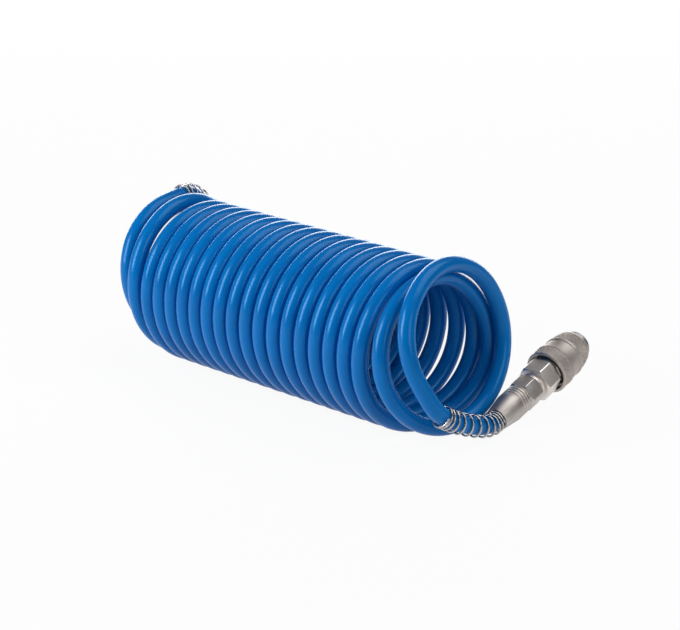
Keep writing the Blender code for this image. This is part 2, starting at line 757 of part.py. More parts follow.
def sleeve_bore():
    skirt = BODY_HEX_AF / math.sqrt(3) * CORNER_TURNED + SKIRT_CLEARANCE
    skirt_end = SLEEVE_START + SLEEVE_TRAVEL + SKIRT_MARGIN - (BODY_START - BODY_HEX_END)
    room = SLEEVE_BAND_OD / 2 - SKIRT_WALL
    land = SLEEVE_BORE / 2
    deep = land + RAMP_SLOPE * (RAMP_END - RAMP_START)
    line = [(skirt, SLEEVE_START), (skirt, skirt_end), (room, skirt_end), (room, SLEEVE_SHOULDER)]
    line += [(land, SLEEVE_SHOULDER), (land, RAMP_START), (deep, RAMP_END)]
    return line + [(land, RAMP_END + (deep - land)), (land, SLEEVE_END)]


def make_sleeve(axis):
    turned("sleeve", sleeve_outline(), sleeve_bore(), NICKEL, axis, FINE_STEPS)
    room = SLEEVE_BAND_OD / 2 - SKIRT_WALL
    radius = (BARREL_OD / 2 + room) / 2
    coil_spring("sleeve_spring", radius, SLEEVE_SPRING_WIRE, BODY_HEX_END + GAP,
                SLEEVE_SHOULDER - GAP, SLEEVE_SPRING_CURLS, SPRING_STEEL, axis)


def make_valve(axis):
    """Poppet with its face seal and closing spring, all shut against the seat."""
    seal_end = SEAT_START - GAP
    seal_start = seal_end - SEAL_THICKNESS
    head_front = seal_start - GAP
    head_back = head_front - POPPET_HEAD_LENGTH
    back = head_back - POPPET_SKIRT_LENGTH
    skirt = CHAMBER_BORE / 2 - POPPET_SKIRT_CLEARANCE
    nose = POPPET_NOSE_OD / 2
    pocket = POPPET_POCKET_OD / 2
    bleed = STEM_BORE / 4
    tip = SOCKET_START + POPPET_NOSE_REACH
    outer = [(nose - MOUTH_CHAMFER, tip), (nose, tip - MOUTH_CHAMFER), (nose, head_front)]
    outer += [(POPPET_HEAD_OD / 2, head_front), (POPPET_HEAD_OD / 2, head_back), (skirt, head_back)]
    outer += [(skirt, back)]
    inner = [(pocket, back), (pocket, head_back), (bleed, head_back), (bleed, tip)]
    poppet = turned("valve_poppet", outer, inner, BRASS, axis)
    slot_poppet(poppet, skirt, back, axis)
    plain_ring("poppet_seal", SEAL_OD / 2, nose + GAP, seal_start, seal_end, RUBBER, axis)
    coil_spring("poppet_spring", (pocket + STEM_BORE / 2) / 2 + GAP, POPPET_SPRING_WIRE, SPIGOT_END + GAP,
                head_back - GAP, POPPET_SPRING_CURLS, SPRING_STEEL, axis)


def slot_poppet(poppet, skirt, back, axis):
    """Air slots across the skirt."""
    mesh = bpy.data.meshes.new("air_slot")
    work = bmesh.new()
    bmesh.ops.create_cube(work, size=1.0)
    size = (3 * skirt, POPPET_SLOT_WIDTH, 2 * POPPET_SLOT_DEPTH)
    bmesh.ops.scale(work, vec=size, verts=work.verts)
    work.to_mesh(mesh)
    work.free()
    for index in range(POPPET_SLOTS):
        cutter = add_cutter(f"air_slot_{index + 1}", mesh, axis)
        cutter.location = (0.0, 0.0, back)
        cutter.rotation_euler = (0.0, 0.0, math.pi / POPPET_SLOTS * index)
        cut(poppet, cutter)


def make_o_ring(axis):
    middle = SOCKET_START + ORING_SETBACK + ORING_GROOVE_WIDTH / 2
    radius = ORING_WIRE / 2
    centre = ORING_INNER / 2 + radius
    corners = [2 * math.pi * index / ORING_SIDES for index in range(ORING_SIDES)]
    section = [(centre + radius * math.cos(a), middle - radius * math.sin(a)) for a in corners]
    turned("socket_o_ring", section, [], RUBBER, axis)


def make_coupler(axis):
    make_coupler_stem(axis)
    low = BODY_HEX_END + GAP
    plain_ring("body_gasket", GASKET_OD / 2, SPIGOT_OD / 2 + GAP, low, low + GASKET_THICKNESS, RUBBER, axis)
    make_body(axis)
    make_o_ring(axis)
    make_valve(axis)
    make_sleeve(axis)
    make_snap_ring(axis)
    make_balls(axis)


def main():
    make_coil()
    rear_axis_line = coil_heading(REAR_LEAVE)
    rear_mouth = coil_point(REAR_LEAVE)
    front_points = lead_points(LEAD_TURN, -1, FRONT_NUT, FRONT_AXIS)
    rear_points = lead_points(COIL_END, 1, rear_mouth, rear_axis_line)
    make_lead("front_hose_lead", front_points, FRONT_NUT, FRONT_AXIS)
    make_lead("rear_hose_lead", rear_points, rear_mouth, rear_axis_line)
    coil_axis = Vector((1.0, 0.0, 0.0))
    make_guard("front_spring_guard", front_points[:-1], coil_axis)
    make_guard("rear_spring_guard", rear_points[:-1], coil_axis)
    front_axis = fitting_axis("front_fitting_axis", FRONT_NUT, FRONT_AXIS)
    rear_axis = fitting_axis("rear_fitting_axis", rear_mouth, rear_axis_line)
    make_nut("front_nut", front_axis)
    make_coupler(front_axis)
    make_nut("rear_nut", rear_axis)
    make_plug(rear_axis)
    bpy.context.view_layer.update()


main()
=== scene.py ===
"""Coiled air hose on a pale studio floor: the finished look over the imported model."""
import math

import bmesh
import bpy
import numpy as np
from mathutils import Matrix, Vector


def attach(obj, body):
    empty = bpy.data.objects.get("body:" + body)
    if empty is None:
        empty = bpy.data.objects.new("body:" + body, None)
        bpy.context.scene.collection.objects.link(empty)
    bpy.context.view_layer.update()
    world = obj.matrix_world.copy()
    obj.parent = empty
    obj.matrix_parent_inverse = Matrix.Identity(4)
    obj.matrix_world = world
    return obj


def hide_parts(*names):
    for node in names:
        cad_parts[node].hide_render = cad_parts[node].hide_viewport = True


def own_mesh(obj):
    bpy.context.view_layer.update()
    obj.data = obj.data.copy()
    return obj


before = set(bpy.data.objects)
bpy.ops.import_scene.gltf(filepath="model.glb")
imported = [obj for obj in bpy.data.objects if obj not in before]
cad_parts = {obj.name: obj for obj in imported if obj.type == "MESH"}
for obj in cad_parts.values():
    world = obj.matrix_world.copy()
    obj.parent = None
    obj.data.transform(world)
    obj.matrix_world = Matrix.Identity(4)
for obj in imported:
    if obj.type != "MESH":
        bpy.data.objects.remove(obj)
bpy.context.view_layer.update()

# Unit of length, and the play between pieces
MM = 0.001
GAP = 0.3 * MM

# Camera, matched to the photograph
PHOTO_WIDTH = 680
CAMERA_AZIMUTH = math.radians(46.1)
CAMERA_ELEVATION = math.radians(16.85)
CAMERA_DISTANCE = 1.399
CAMERA_AIM = Vector((55.7, -25.2, 62.2)) * MM
CAMERA_SCALE = 1.823 / MM
SENSOR_WIDTH = 36.0

# Hose
HOSE_OD = 10.0 * MM
WOUND_THICKNESS = 9.2 * MM
WOUND_WIDTH = 10.0 * MM
COIL_RADIUS = 44.0 * MM
AXIS_HEIGHT = 47.3 * MM
FRONT_PITCH = 11.3 * MM
REAR_PITCH = 10.6 * MM
PITCH_CHANGE_START = 9.0
PITCH_CHANGE_END = 14.5
TURN_LEAN = 2.8 * MM
ORIGIN_TURN = 10
LEAD_TURN = 72.0 / 360.0
FRONT_RAISE = 5.5 * MM
FRONT_ADVANCE = 12.2 * MM
FRONT_LEAN = 9.2 * MM
FRONT_YAW = 3.5 * MM
FRONT_FREE_TURN = 0.7
FRONT_SETTLED_TURN = 1.6
FRONT_DRAW_IN = 7.0 * MM
FRONT_DRAWN_TURN = 0.12
FRONT_FULL_TURN = 0.36
FAR_OPENING = 10.0 * MM
FAR_OPENING_LAG = math.radians(32)
FAR_OPENING_POWER = 1.5
FAR_OPENING_TURN = 1.45
FAR_OPEN_TURN = 1.8
FAR_CLOSING_TURN = 2.2
FAR_CLOSED_TURN = 6.2
SECOND_TURN_DRAW_IN = 3.2 * MM
SECOND_TURN_START = 1.2
SECOND_TURN_IN = 1.5
SECOND_TURN_OUT = 1.57
SECOND_TURN_END = 1.8
REAR_GAP = 2.5 * MM
REAR_TILT = 3.5 * MM
REAR_YAW = 3.0 * MM
REAR_TOP_LIFT = 2.0 * MM
REAR_BOTTOM_RAISE = 2.5 * MM
REAR_PART_START = 18.45
REAR_PART_END = 19.05
LAST_TURN_RAISE = 4.5 * MM
LAST_TURN_TOP_LIFT = 2.0 * MM
LAST_TURN_TILT = 1.0 * MM
LAST_TURN_CLOSE_IN = 1.0 * MM
LAST_TURN_DRAW_IN = 4.5 * MM
LAST_TURN_START = 19.35
LAST_TURN_END = 20.0
REAR_SWING = 4.5 * MM
REAR_SWING_START = 20.1
REAR_SWING_END = 20.45
STRAIGHT_RUN = HOSE_OD
NUT_STRAIGHT_RUN = 4.0 * MM
FRONT_NUT = Vector((132.5, 19.5, 10.0)) * MM
FRONT_RISE = math.radians(16.7)
FRONT_TURN_IN = math.radians(8.0)
FRONT_PULL = 0.5
REAR_NUT = Vector((-125.21, 40.57, 61.67)) * MM
REAR_AXIS = Vector((-0.02937, 0.22898, -0.97299)).normalized()
REAR_PULL = 1.0
COIL_END = 20.483
POINTS_PER_LOOP = 120
POINTS_PER_LEAD = 40
HOSE_SIDES = 24
WOUND_EASE = 4 * HOSE_OD
ROUTE_SOFTENING = 6
HEADING_STEP = 1.0 / 720.0
COIL_AXIS = Vector((1.0, 0.0, 0.0))

# Wire guards
GUARD_WIRE = 1.2 * MM
GUARD_CLEARANCE = 0.35 * MM
GUARD_LENGTH = 47.0 * MM
GUARD_CURLS = 11
GUARD_END_TIGHTNESS = 0.6
GUARD_FLARE = 0.3 * MM
GUARD_FLARE_SHARE = 0.08
POINTS_PER_CURL = 36
GUARD_SPACING = HOSE_OD / 20
GUARD_REACH = HOSE_OD / 4
GUARD_WIRE_FINENESS = 4

# Clamp nut
NUT_ROUND_LENGTH = 23.0 * MM
NUT_HEX_LENGTH = 11.0 * MM
NUT_OD = 16.8 * MM
NUT_MOUTH_OD = 13.2 * MM
NUT_TAPER = 12.0 * MM
NUT_HEX_AF = 16.0 * MM
NUT_GROOVES = 4
NUT_GROOVE_DEPTH = 0.3 * MM
NUT_GROOVE_PITCH = 2.0 * MM
NUT_GROOVE_WIDTH = 0.8 * MM
NUT_LENGTH = NUT_ROUND_LENGTH + NUT_HEX_LENGTH

# Stem and hexes
STEM_BORE = 4.0 * MM
STEM_OD = 5.8 * MM
STEM_TIP = 8.0 * MM
THREAD_LENGTH = 8.5 * MM
THREAD_OD = 13.2 * MM
THREAD_PITCH = 1.0 * MM
THREAD_DEPTH = 0.5 * MM
COLLAR_OD = 14.6 * MM
COLLAR_LENGTH = 2.5 * MM
CORNER_TURNED = 0.985
HEX_CHAMFER = 1.0 * MM
BODY_HEX_AF = 19.0 * MM
BODY_HEX_LENGTH = 12.0 * MM
SPIGOT_OD = 12.0 * MM
SPIGOT_LENGTH = 3.2 * MM

# Barrel
GASKET_THICKNESS = 0.6 * MM
BARREL_OD = 15.2 * MM
BARREL_LENGTH = 33.4 * MM
CHAMBER_BORE = 12.6 * MM
CHAMBER_LENGTH = 12.0 * MM
SEAT_BORE = 7.2 * MM
SEAT_LENGTH = 2.0 * MM
SOCKET_BORE = 10.0 * MM
MOUTH_CHAMFER = 0.6 * MM
ORING_WIRE = 1.4 * MM
ORING_INNER = 9.5 * MM
ORING_SETBACK = 1.4 * MM
ORING_GROOVE_WIDTH = 2.0 * MM
RING_THICKNESS = 1.1 * MM
RING_OD = 17.6 * MM
RING_GROOVE_DEPTH = 1.0 * MM
RING_GAP_WIDTH = 2.4 * MM
NOSE_LENGTH = 1.7 * MM
BALL_OD = 3.0 * MM
BALL_COUNT = 6
BALL_SETBACK = 20.5 * MM
BALL_HOLE_CLEARANCE = 0.25 * MM
BALL_RAMP_LEAD = 0.375 * MM

# Sleeve
SLEEVE_OD = 25.8 * MM
SLEEVE_BAND_OD = 25.0 * MM
SLEEVE_BAND_FRONT_OD = 23.9 * MM
SLEEVE_RIDGE_OD = 24.8 * MM
SLEEVE_FRONT_OD = 24.0 * MM
SLEEVE_NOSE_OD = 18.6 * MM
SLEEVE_GRIP_LENGTH = 8.5 * MM
SLEEVE_BAND_LENGTH = 8.5 * MM
SLEEVE_RIDGE_LENGTH = 1.6 * MM
SLEEVE_EDGE = 0.6 * MM
SLEEVE_FRONT_LIP = 2.6 * MM
SLEEVE_FRONT_WALL = 1.3 * MM
SLEEVE_FRONT_STEPS = 50
SLEEVE_FRONT_POWER = 2.2
SLEEVE_TRAVEL = 4.5 * MM
SLEEVE_SLIDE_CLEARANCE = 0.25 * MM
SKIRT_CLEARANCE = 0.45 * MM
SPRING_ROOM_OD = 20.0 * MM
SKIRT_MARGIN = 1.0 * MM
SLEEVE_SPRING_ROOM = 11.3 * MM
SLEEVE_BORE = BARREL_OD + 2 * SLEEVE_SLIDE_CLEARANCE
BALL_LIFT = 1.0 * MM
KNURL_ROWS = 52
KNURL_DEPTH = 0.5 * MM
KNURL_FINENESS = 6
KNURL_STEEPNESS = 1.6
KNURL_PITCH = math.pi * SLEEVE_OD / KNURL_ROWS

# Plug
PLUG_HEX_AF = 17.0 * MM
PLUG_HEX_LENGTH = 8.0 * MM
PLUG_SHOULDER_OD = 12.0 * MM
PLUG_SHOULDER_LENGTH = 2.5 * MM
PLUG_OD = 9.4 * MM
PLUG_NECK_OD = 7.6 * MM
PLUG_NECK_LENGTH = 4.0 * MM
PLUG_LAND_LENGTH = 4.0 * MM
PLUG_NOSE_LENGTH = 7.0 * MM
PLUG_TIP_OD = 7.4 * MM
PLUG_TIP_TAPER = 2.0 * MM

# Stations along a fitting, from the mouth of its nut
HOSE_END = NUT_LENGTH - THREAD_LENGTH
COLLAR_START = NUT_LENGTH + GAP
HEX_START = COLLAR_START + COLLAR_LENGTH
BODY_HEX_END = HEX_START + BODY_HEX_LENGTH
BODY_START = BODY_HEX_END + 2 * GAP + GASKET_THICKNESS
BODY_END = BODY_START + BARREL_LENGTH
SPIGOT_END = BODY_HEX_END + SPIGOT_LENGTH
SEAT_START = BODY_START + CHAMBER_LENGTH
SOCKET_START = SEAT_START + SEAT_LENGTH
BALL_STATION = BODY_START + BALL_SETBACK
RING_END = BODY_END - NOSE_LENGTH - GAP
RING_START = RING_END - RING_THICKNESS
SLEEVE_END = RING_START - GAP
SLEEVE_START = BODY_START
SLEEVE_SHOULDER = SLEEVE_START + SLEEVE_SPRING_ROOM
SLEEVE_GRIP_LOW = SLEEVE_START + SLEEVE_EDGE
SLEEVE_GRIP_END = SLEEVE_START + SLEEVE_GRIP_LENGTH
SLEEVE_BAND_END = SLEEVE_GRIP_END + SLEEVE_BAND_LENGTH
SLEEVE_RIDGE_END = SLEEVE_BAND_END + SLEEVE_RIDGE_LENGTH
RAMP_START = BALL_STATION + BALL_RAMP_LEAD
RAMP_END = BALL_STATION + SLEEVE_TRAVEL + BALL_OD / 2 + GAP
RAMP_SLOPE = BALL_LIFT / SLEEVE_TRAVEL
PLUG_HEX_END = HEX_START + PLUG_HEX_LENGTH
PLUG_NECK_START = PLUG_HEX_END + PLUG_SHOULDER_LENGTH + PLUG_LAND_LENGTH
PLUG_END = PLUG_NECK_START + PLUG_NECK_LENGTH + PLUG_NOSE_LENGTH

# Fineness of turned and cut pieces
TURN_STEPS = 96
EDGE_EASE = 0.18 * MM
EDGE_EASE_SHARE = 0.4
HEX_EASE = 0.16 * MM
HEX_EASE_STEPS = 2
HEX_EASE_ANGLE = math.radians(24.0)
HOLE_SIDES = 32
SHARP_ANGLE = math.radians(32.0)
MERGE = 0.000002

# Colours and surface values of the finishes
HOSE_DEEP_BLUE = (0.0, 0.150, 0.485, 1.0)
HOSE_PALE_BLUE = (0.0, 0.167, 0.528, 1.0)
HOSE_GLANCE = (0.32, 0.68, 1.0, 1.0)
HOSE_ROUGHNESS = (0.20, 0.25)
HOSE_IOR = 1.45
HOSE_BUMP = 0.03
NICKEL_WORN = (0.78, 0.76, 0.73, 1.0)
NICKEL_DULLED = 0.86
NICKEL_ROUGHNESS_SPREAD = (-0.05, 0.08)
NICKEL_BUMP = 0.12
SCUFF_ROUGHNESS = 0.12
STEEL_DULLED = 0.7
STEEL_ROUGHNESS_SPREAD = (-0.06, 0.08)
RUBBER_BLACK = (0.012, 0.012, 0.012, 1.0)
RUBBER_GREY = (0.03, 0.03, 0.03, 1.0)
RUBBER_ROUGHNESS = (0.5, 0.7)
RUBBER_BUMP = 0.2
GRAIN_DEPTH = 0.00002
TURNING_DEPTH = 0.00003
TONE_RANGE = (0.35, 0.65)
STEEL_TONE_RANGE = (0.3, 0.7)

# Studio
FLOOR_SIZE = 8.0
FLOOR_GREY = (0.86, 0.86, 0.86, 1.0)
FLOOR_ROUGHNESS = 0.7
FLOOR_GLOW = (("Is Camera Ray", 0.93), ("Is Glossy Ray", 0.5))
WHITE = (1.0, 1.0, 1.0, 1.0)
SKY_COLOUR = (0.80, 0.82, 0.85, 1.0)
SKY_STRENGTH = 0.10
COIL_MIDDLE = (0.0, 0.0, 0.05)
FRONT_MIDDLE = (0.05, 0.0, 0.05)

# Soft boxes: name, place, size, power and aim
SOFT_BOXES = (
    ("key_soft_box", (-0.61, -1.20, 0.66), (0.6, 0.9), 16.0, COIL_MIDDLE),
    ("back_soft_box", (-1.30, 1.25, 0.40), (2.6, 0.7), 22.0, COIL_MIDDLE),
    ("top_soft_box", (0.45, 0.45, 1.35), (1.2, 1.2), 10.0, COIL_MIDDLE),
    ("fill_soft_box", (1.5, -0.3, 0.7), (0.8, 0.8), 5.0, FRONT_MIDDLE),
)


# Shared finish effects

def effect_group(name, inputs, outputs):
    """Empty shader group with named sockets, and its two end nodes."""
    group = bpy.data.node_groups.new(name, 'ShaderNodeTree')
    for label, kind, value in inputs:
        socket = group.interface.new_socket(label, in_out='INPUT', socket_type=kind)
        if value is not None:
            socket.default_value = value
    for label, kind in outputs:
        group.interface.new_socket(label, in_out='OUTPUT', socket_type=kind)
    start = group.nodes.new('NodeGroupInput')
    end = group.nodes.new('NodeGroupOutput')
    return group, start, end


def add_node(tree, kind, **values):
    """New node in a tree, with its settings by attribute name."""
    node = tree.nodes.new(kind)
    for key, value in values.items():
        setattr(node, key, value)
    return node


def make_mottle():
    """Slow and fine unevenness, each as a value between zero and one."""
    group, start, end = effect_group(
        "finish_mottle",
        [("Vector", 'NodeSocketVector', None), ("Broad", 'NodeSocketFloat', 40.0),
         ("Fine", 'NodeSocketFloat', 600.0)],
        [("Broad", 'NodeSocketFloat'), ("Fine", 'NodeSocketFloat')])
    for label, detail in (("Broad", 2.0), ("Fine", 4.0)):
        noise = add_node(group, 'ShaderNodeTexNoise')
        noise.inputs["Detail"].default_value = detail
        group.links.new(start.outputs["Vector"], noise.inputs["Vector"])
        group.links.new(start.outputs[label], noise.inputs["Scale"])
        group.links.new(noise.outputs["Fac"], end.inputs[label])
    return group


def make_turning_lines():
    """Fine rings left by the lathe, across the piece's own length."""
    group, start, end = effect_group(
        "turning_lines",
        [("Vector", 'NodeSocketVector', None), ("Lines", 'NodeSocketFloat', 3000.0)],
        [("Height", 'NodeSocketFloat')])
    split = add_node(group, 'ShaderNodeSeparateXYZ')
    group.links.new(start.outputs["Vector"], split.inputs["Vector"])
    noise = add_node(group, 'ShaderNodeTexNoise', noise_dimensions='1D')
    noise.inputs["Detail"].default_value = 3.0
    group.links.new(split.outputs["Z"], noise.inputs["W"])
    group.links.new(start.outputs["Lines"], noise.inputs["Scale"])
    group.links.new(noise.outputs["Fac"], end.inputs["Height"])
    return group


def make_edge_rub():
    """Broken mask that is strongest along outer edges."""
    group, start, end = effect_group(
        "edge_rub",
        [("Vector", 'NodeSocketVector', None), ("Low", 'NodeSocketFloat', 0.52),
         ("High", 'NodeSocketFloat', 0.62)],
        [("Mask", 'NodeSocketFloat')])
    shape = add_node(group, 'ShaderNodeNewGeometry')
    noise = add_node(group, 'ShaderNodeTexNoise')
    noise.inputs["Scale"].default_value = 900.0
    group.links.new(start.outputs["Vector"], noise.inputs["Vector"])
    ramp = add_node(group, 'ShaderNodeMapRange')
    group.links.new(shape.outputs["Pointiness"], ramp.inputs["Value"])
    group.links.new(start.outputs["Low"], ramp.inputs["From Min"])
    group.links.new(start.outputs["High"], ramp.inputs["From Max"])
    broken = add_node(group, 'ShaderNodeMath', operation='MULTIPLY')
    group.links.new(ramp.outputs["Result"], broken.inputs[0])
    group.links.new(noise.outputs["Fac"], broken.inputs[1])
    group.links.new(broken.outputs["Value"], end.inputs["Mask"])
    return group


def make_scuffs():
    """Mask of sparse thin scratches from handling."""
    group, start, end = effect_group(
        "handling_scuffs",
        [("Vector", 'NodeSocketVector', None), ("Scale", 'NodeSocketFloat', 120.0),
         ("Spread", 'NodeSocketFloat', 0.04)],
        [("Mask", 'NodeSocketFloat')])
    warp = add_node(group, 'ShaderNodeTexNoise')
    warp.inputs["Scale"].default_value = 35.0
    group.links.new(start.outputs["Vector"], warp.inputs["Vector"])
    mix = add_node(group, 'ShaderNodeMix', data_type='VECTOR')
    mix.inputs["Factor"].default_value = 0.02
    group.links.new(start.outputs["Vector"], mix.inputs["A"])
    group.links.new(warp.outputs["Color"], mix.inputs["B"])
    cells = add_node(group, 'ShaderNodeTexVoronoi', feature='DISTANCE_TO_EDGE')
    group.links.new(mix.outputs["Result"], cells.inputs["Vector"])
    group.links.new(start.outputs["Scale"], cells.inputs["Scale"])
    line = add_node(group, 'ShaderNodeMapRange')
    line.inputs["To Min"].default_value = 1.0
    line.inputs["To Max"].default_value = 0.0
    group.links.new(cells.outputs["Distance"], line.inputs["Value"])
    group.links.new(start.outputs["Spread"], line.inputs["From Max"])
    patch = add_node(group, 'ShaderNodeTexNoise')
    patch.inputs["Scale"].default_value = 55.0
    group.links.new(start.outputs["Vector"], patch.inputs["Vector"])
    sparse = add_node(group, 'ShaderNodeMapRange')
    sparse.inputs["From Min"].default_value = 0.5
    sparse.inputs["From Max"].default_value = 0.68
    group.links.new(patch.outputs["Fac"], sparse.inputs["Value"])
    both = add_node(group, 'ShaderNodeMath', operation='MULTIPLY')
    group.links.new(line.outputs["Result"], both.inputs[0])
    group.links.new(sparse.outputs["Result"], both.inputs[1])
    group.links.new(both.outputs["Value"], end.inputs["Mask"])
    return group


MOTTLE = make_mottle()
TURNING_LINES = make_turning_lines()
EDGE_RUB = make_edge_rub()
SCUFFS = make_scuffs()


# Finishes

class Finish:
    """Material in the making: its node tree, its shader and its coordinates."""

    def __init__(self, name):
        self.material = bpy.data.materials.new(name)
        self.material.use_nodes = True
        self.tree = self.material.node_tree
        self.shader = self.tree.nodes["Principled BSDF"]
        self.place = add_node(self.tree, 'ShaderNodeTexCoord').outputs["Object"]

    def plain(self, label, value):
        """Set a shader input to one value."""
        self.shader.inputs[label].default_value = value

    def effect(self, group, **values):
        """Use a shared effect, with its inputs by name."""
        node = add_node(self.tree, 'ShaderNodeGroup', node_tree=group)
        self.tree.links.new(self.place, node.inputs["Vector"])
        for label, value in values.items():
            node.inputs[label].default_value = value
        return node

    def spread(self, source, low, high, start=0.0, end=1.0):
        """Value that runs from low to high as the source runs from start to end."""
        node = add_node(self.tree, 'ShaderNodeMapRange')
        self.tree.links.new(source, node.inputs["Value"])
        node.inputs["From Min"].default_value = start
        node.inputs["From Max"].default_value = end
        node.inputs["To Min"].default_value = low
        node.inputs["To Max"].default_value = high
        return node.outputs["Result"]

    def sum(self, first, second):
        """Sum of two outputs."""
        node = add_node(self.tree, 'ShaderNodeMath')
        self.tree.links.new(first, node.inputs[0])
        self.tree.links.new(second, node.inputs[1])
        return node.outputs["Value"]

    def blend(self, mask, first, second):
        """Colour between two, each a colour or an output."""
        node = add_node(self.tree, 'ShaderNodeMix', data_type='RGBA')
        self.tree.links.new(mask, node.inputs["Factor"])
        ends = [item for item in node.inputs if item.type == 'RGBA']
        for socket, colour in zip(ends, (first, second)):
            if isinstance(colour, tuple):
                socket.default_value = colour
            else:
                self.tree.links.new(colour, socket)
        return next(item for item in node.outputs if item.type == 'RGBA')

    def feed(self, label, source):
        """Link an output to a shader input."""
        self.tree.links.new(source, self.shader.inputs[label])

    def bump(self, height, strength, distance):
        """Small relief that only bends the light."""
        node = add_node(self.tree, 'ShaderNodeBump')
        node.inputs["Strength"].default_value = strength
        node.inputs["Distance"].default_value = distance
        self.tree.links.new(height, node.inputs["Height"])
        self.tree.links.new(node.outputs["Normal"], self.shader.inputs["Normal"])


def make_hose_blue():
    """Smooth blue plastic, glossy and a little uneven."""
    finish = Finish("hose_blue")
    mottle = finish.effect(MOTTLE, Broad=45.0, Fine=900.0)
    tone = finish.spread(mottle.outputs["Broad"], 0.0, 1.0, *TONE_RANGE)
    finish.feed("Base Color", finish.blend(tone, HOSE_DEEP_BLUE, HOSE_PALE_BLUE))
    finish.feed("Roughness", finish.spread(mottle.outputs["Fine"], *HOSE_ROUGHNESS))
    finish.bump(mottle.outputs["Fine"], HOSE_BUMP, GRAIN_DEPTH)
    finish.plain("IOR", HOSE_IOR)
    finish.plain("Specular Tint", HOSE_GLANCE)
    return finish.material


def dulled(tint, share):
    """Darker colour of the same hue."""
    return tuple(share * value for value in tint[:3]) + (1.0,)


def make_nickel(name, lines, roughness, tint):
    """Satin plated metal with turning lines, rubbed edges and scuffs."""
    finish = Finish(name)
    mottle = finish.effect(MOTTLE, Broad=70.0, Fine=1400.0)
    rings = finish.effect(TURNING_LINES, Lines=lines)
    rub = finish.effect(EDGE_RUB)
    scuffs = finish.effect(SCUFFS, Scale=200.0, Spread=0.025)
    uneven = finish.spread(mottle.outputs["Broad"], 0.0, 1.0, *TONE_RANGE)
    tone = finish.blend(uneven, dulled(tint, NICKEL_DULLED), tint)
    finish.feed("Base Color", finish.blend(rub.outputs["Mask"], tone, NICKEL_WORN))
    low, high = (roughness + change for change in NICKEL_ROUGHNESS_SPREAD)
    satin = finish.spread(rings.outputs["Height"], low, high)
    scuffed = finish.spread(scuffs.outputs["Mask"], 0.0, SCUFF_ROUGHNESS)
    finish.feed("Roughness", finish.sum(satin, scuffed))
    finish.bump(rings.outputs["Height"], NICKEL_BUMP, TURNING_DEPTH)
    finish.plain("Metallic", 1.0)
    return finish.material


def make_wire_steel(name, tint, roughness):
    """Plain drawn or polished metal."""
    finish = Finish(name)
    mottle = finish.effect(MOTTLE, Broad=150.0, Fine=2500.0)
    uneven = finish.spread(mottle.outputs["Broad"], 0.0, 1.0, *STEEL_TONE_RANGE)
    finish.feed("Base Color", finish.blend(uneven, dulled(tint, STEEL_DULLED), tint))
    low, high = (roughness + change for change in STEEL_ROUGHNESS_SPREAD)
    finish.feed("Roughness", finish.spread(mottle.outputs["Fine"], low, high))
    finish.plain("Metallic", 1.0)
    return finish.material


def make_rubber():
    """Matt black rubber of the seals."""
    finish = Finish("seal_black")
    mottle = finish.effect(MOTTLE, Broad=200.0, Fine=3000.0)
    finish.feed("Base Color", finish.blend(mottle.outputs["Broad"], RUBBER_BLACK, RUBBER_GREY))
    finish.feed("Roughness", finish.spread(mottle.outputs["Fine"], *RUBBER_ROUGHNESS))
    finish.bump(mottle.outputs["Fine"], RUBBER_BUMP, GRAIN_DEPTH)
    return finish.material


HOSE_BLUE = make_hose_blue()
NUT_NICKEL = make_nickel(
    "nut_nickel", lines=4200.0, roughness=0.46, tint=(0.60, 0.55, 0.515, 1.0))
HEX_NICKEL = make_nickel(
    "hex_nickel", lines=900.0, roughness=0.42, tint=(0.95, 0.88, 0.83, 1.0))
SLEEVE_NICKEL = make_nickel(
    "sleeve_nickel", lines=3600.0, roughness=0.56, tint=(0.60, 0.545, 0.505, 1.0))
GUARD_STEEL = make_wire_steel("guard_steel", tint=(0.60, 0.59, 0.58, 1.0), roughness=0.22)
SPRING_STEEL = make_wire_steel("spring_steel", tint=(0.42, 0.42, 0.43, 1.0), roughness=0.3)
BALL_STEEL = make_wire_steel("ball_steel", tint=(0.66, 0.66, 0.66, 1.0), roughness=0.14)
VALVE_BRASS = make_wire_steel("valve_brass", tint=(0.72, 0.52, 0.24, 1.0), roughness=0.3)
SEAL_BLACK = make_rubber()


# Route of the hose

def smoothstep(value, start, end):
    """Share that eases from zero at the start to one at the end."""
    share = min(max((value - start) / (end - start), 0.0), 1.0)
    return share * share * (3.0 - 2.0 * share)


def wound_run(turns):
    """Length of the coil along its axis after this many turns, closer wound at the rear."""
    width = PITCH_CHANGE_END - PITCH_CHANGE_START
    share = min(max((turns - PITCH_CHANGE_START) / width, 0.0), 1.0)
    closer = width * (share ** 3 - share ** 4 / 2) + max(turns - PITCH_CHANGE_END, 0.0)
    return FRONT_PITCH * turns - (FRONT_PITCH - REAR_PITCH) * closer


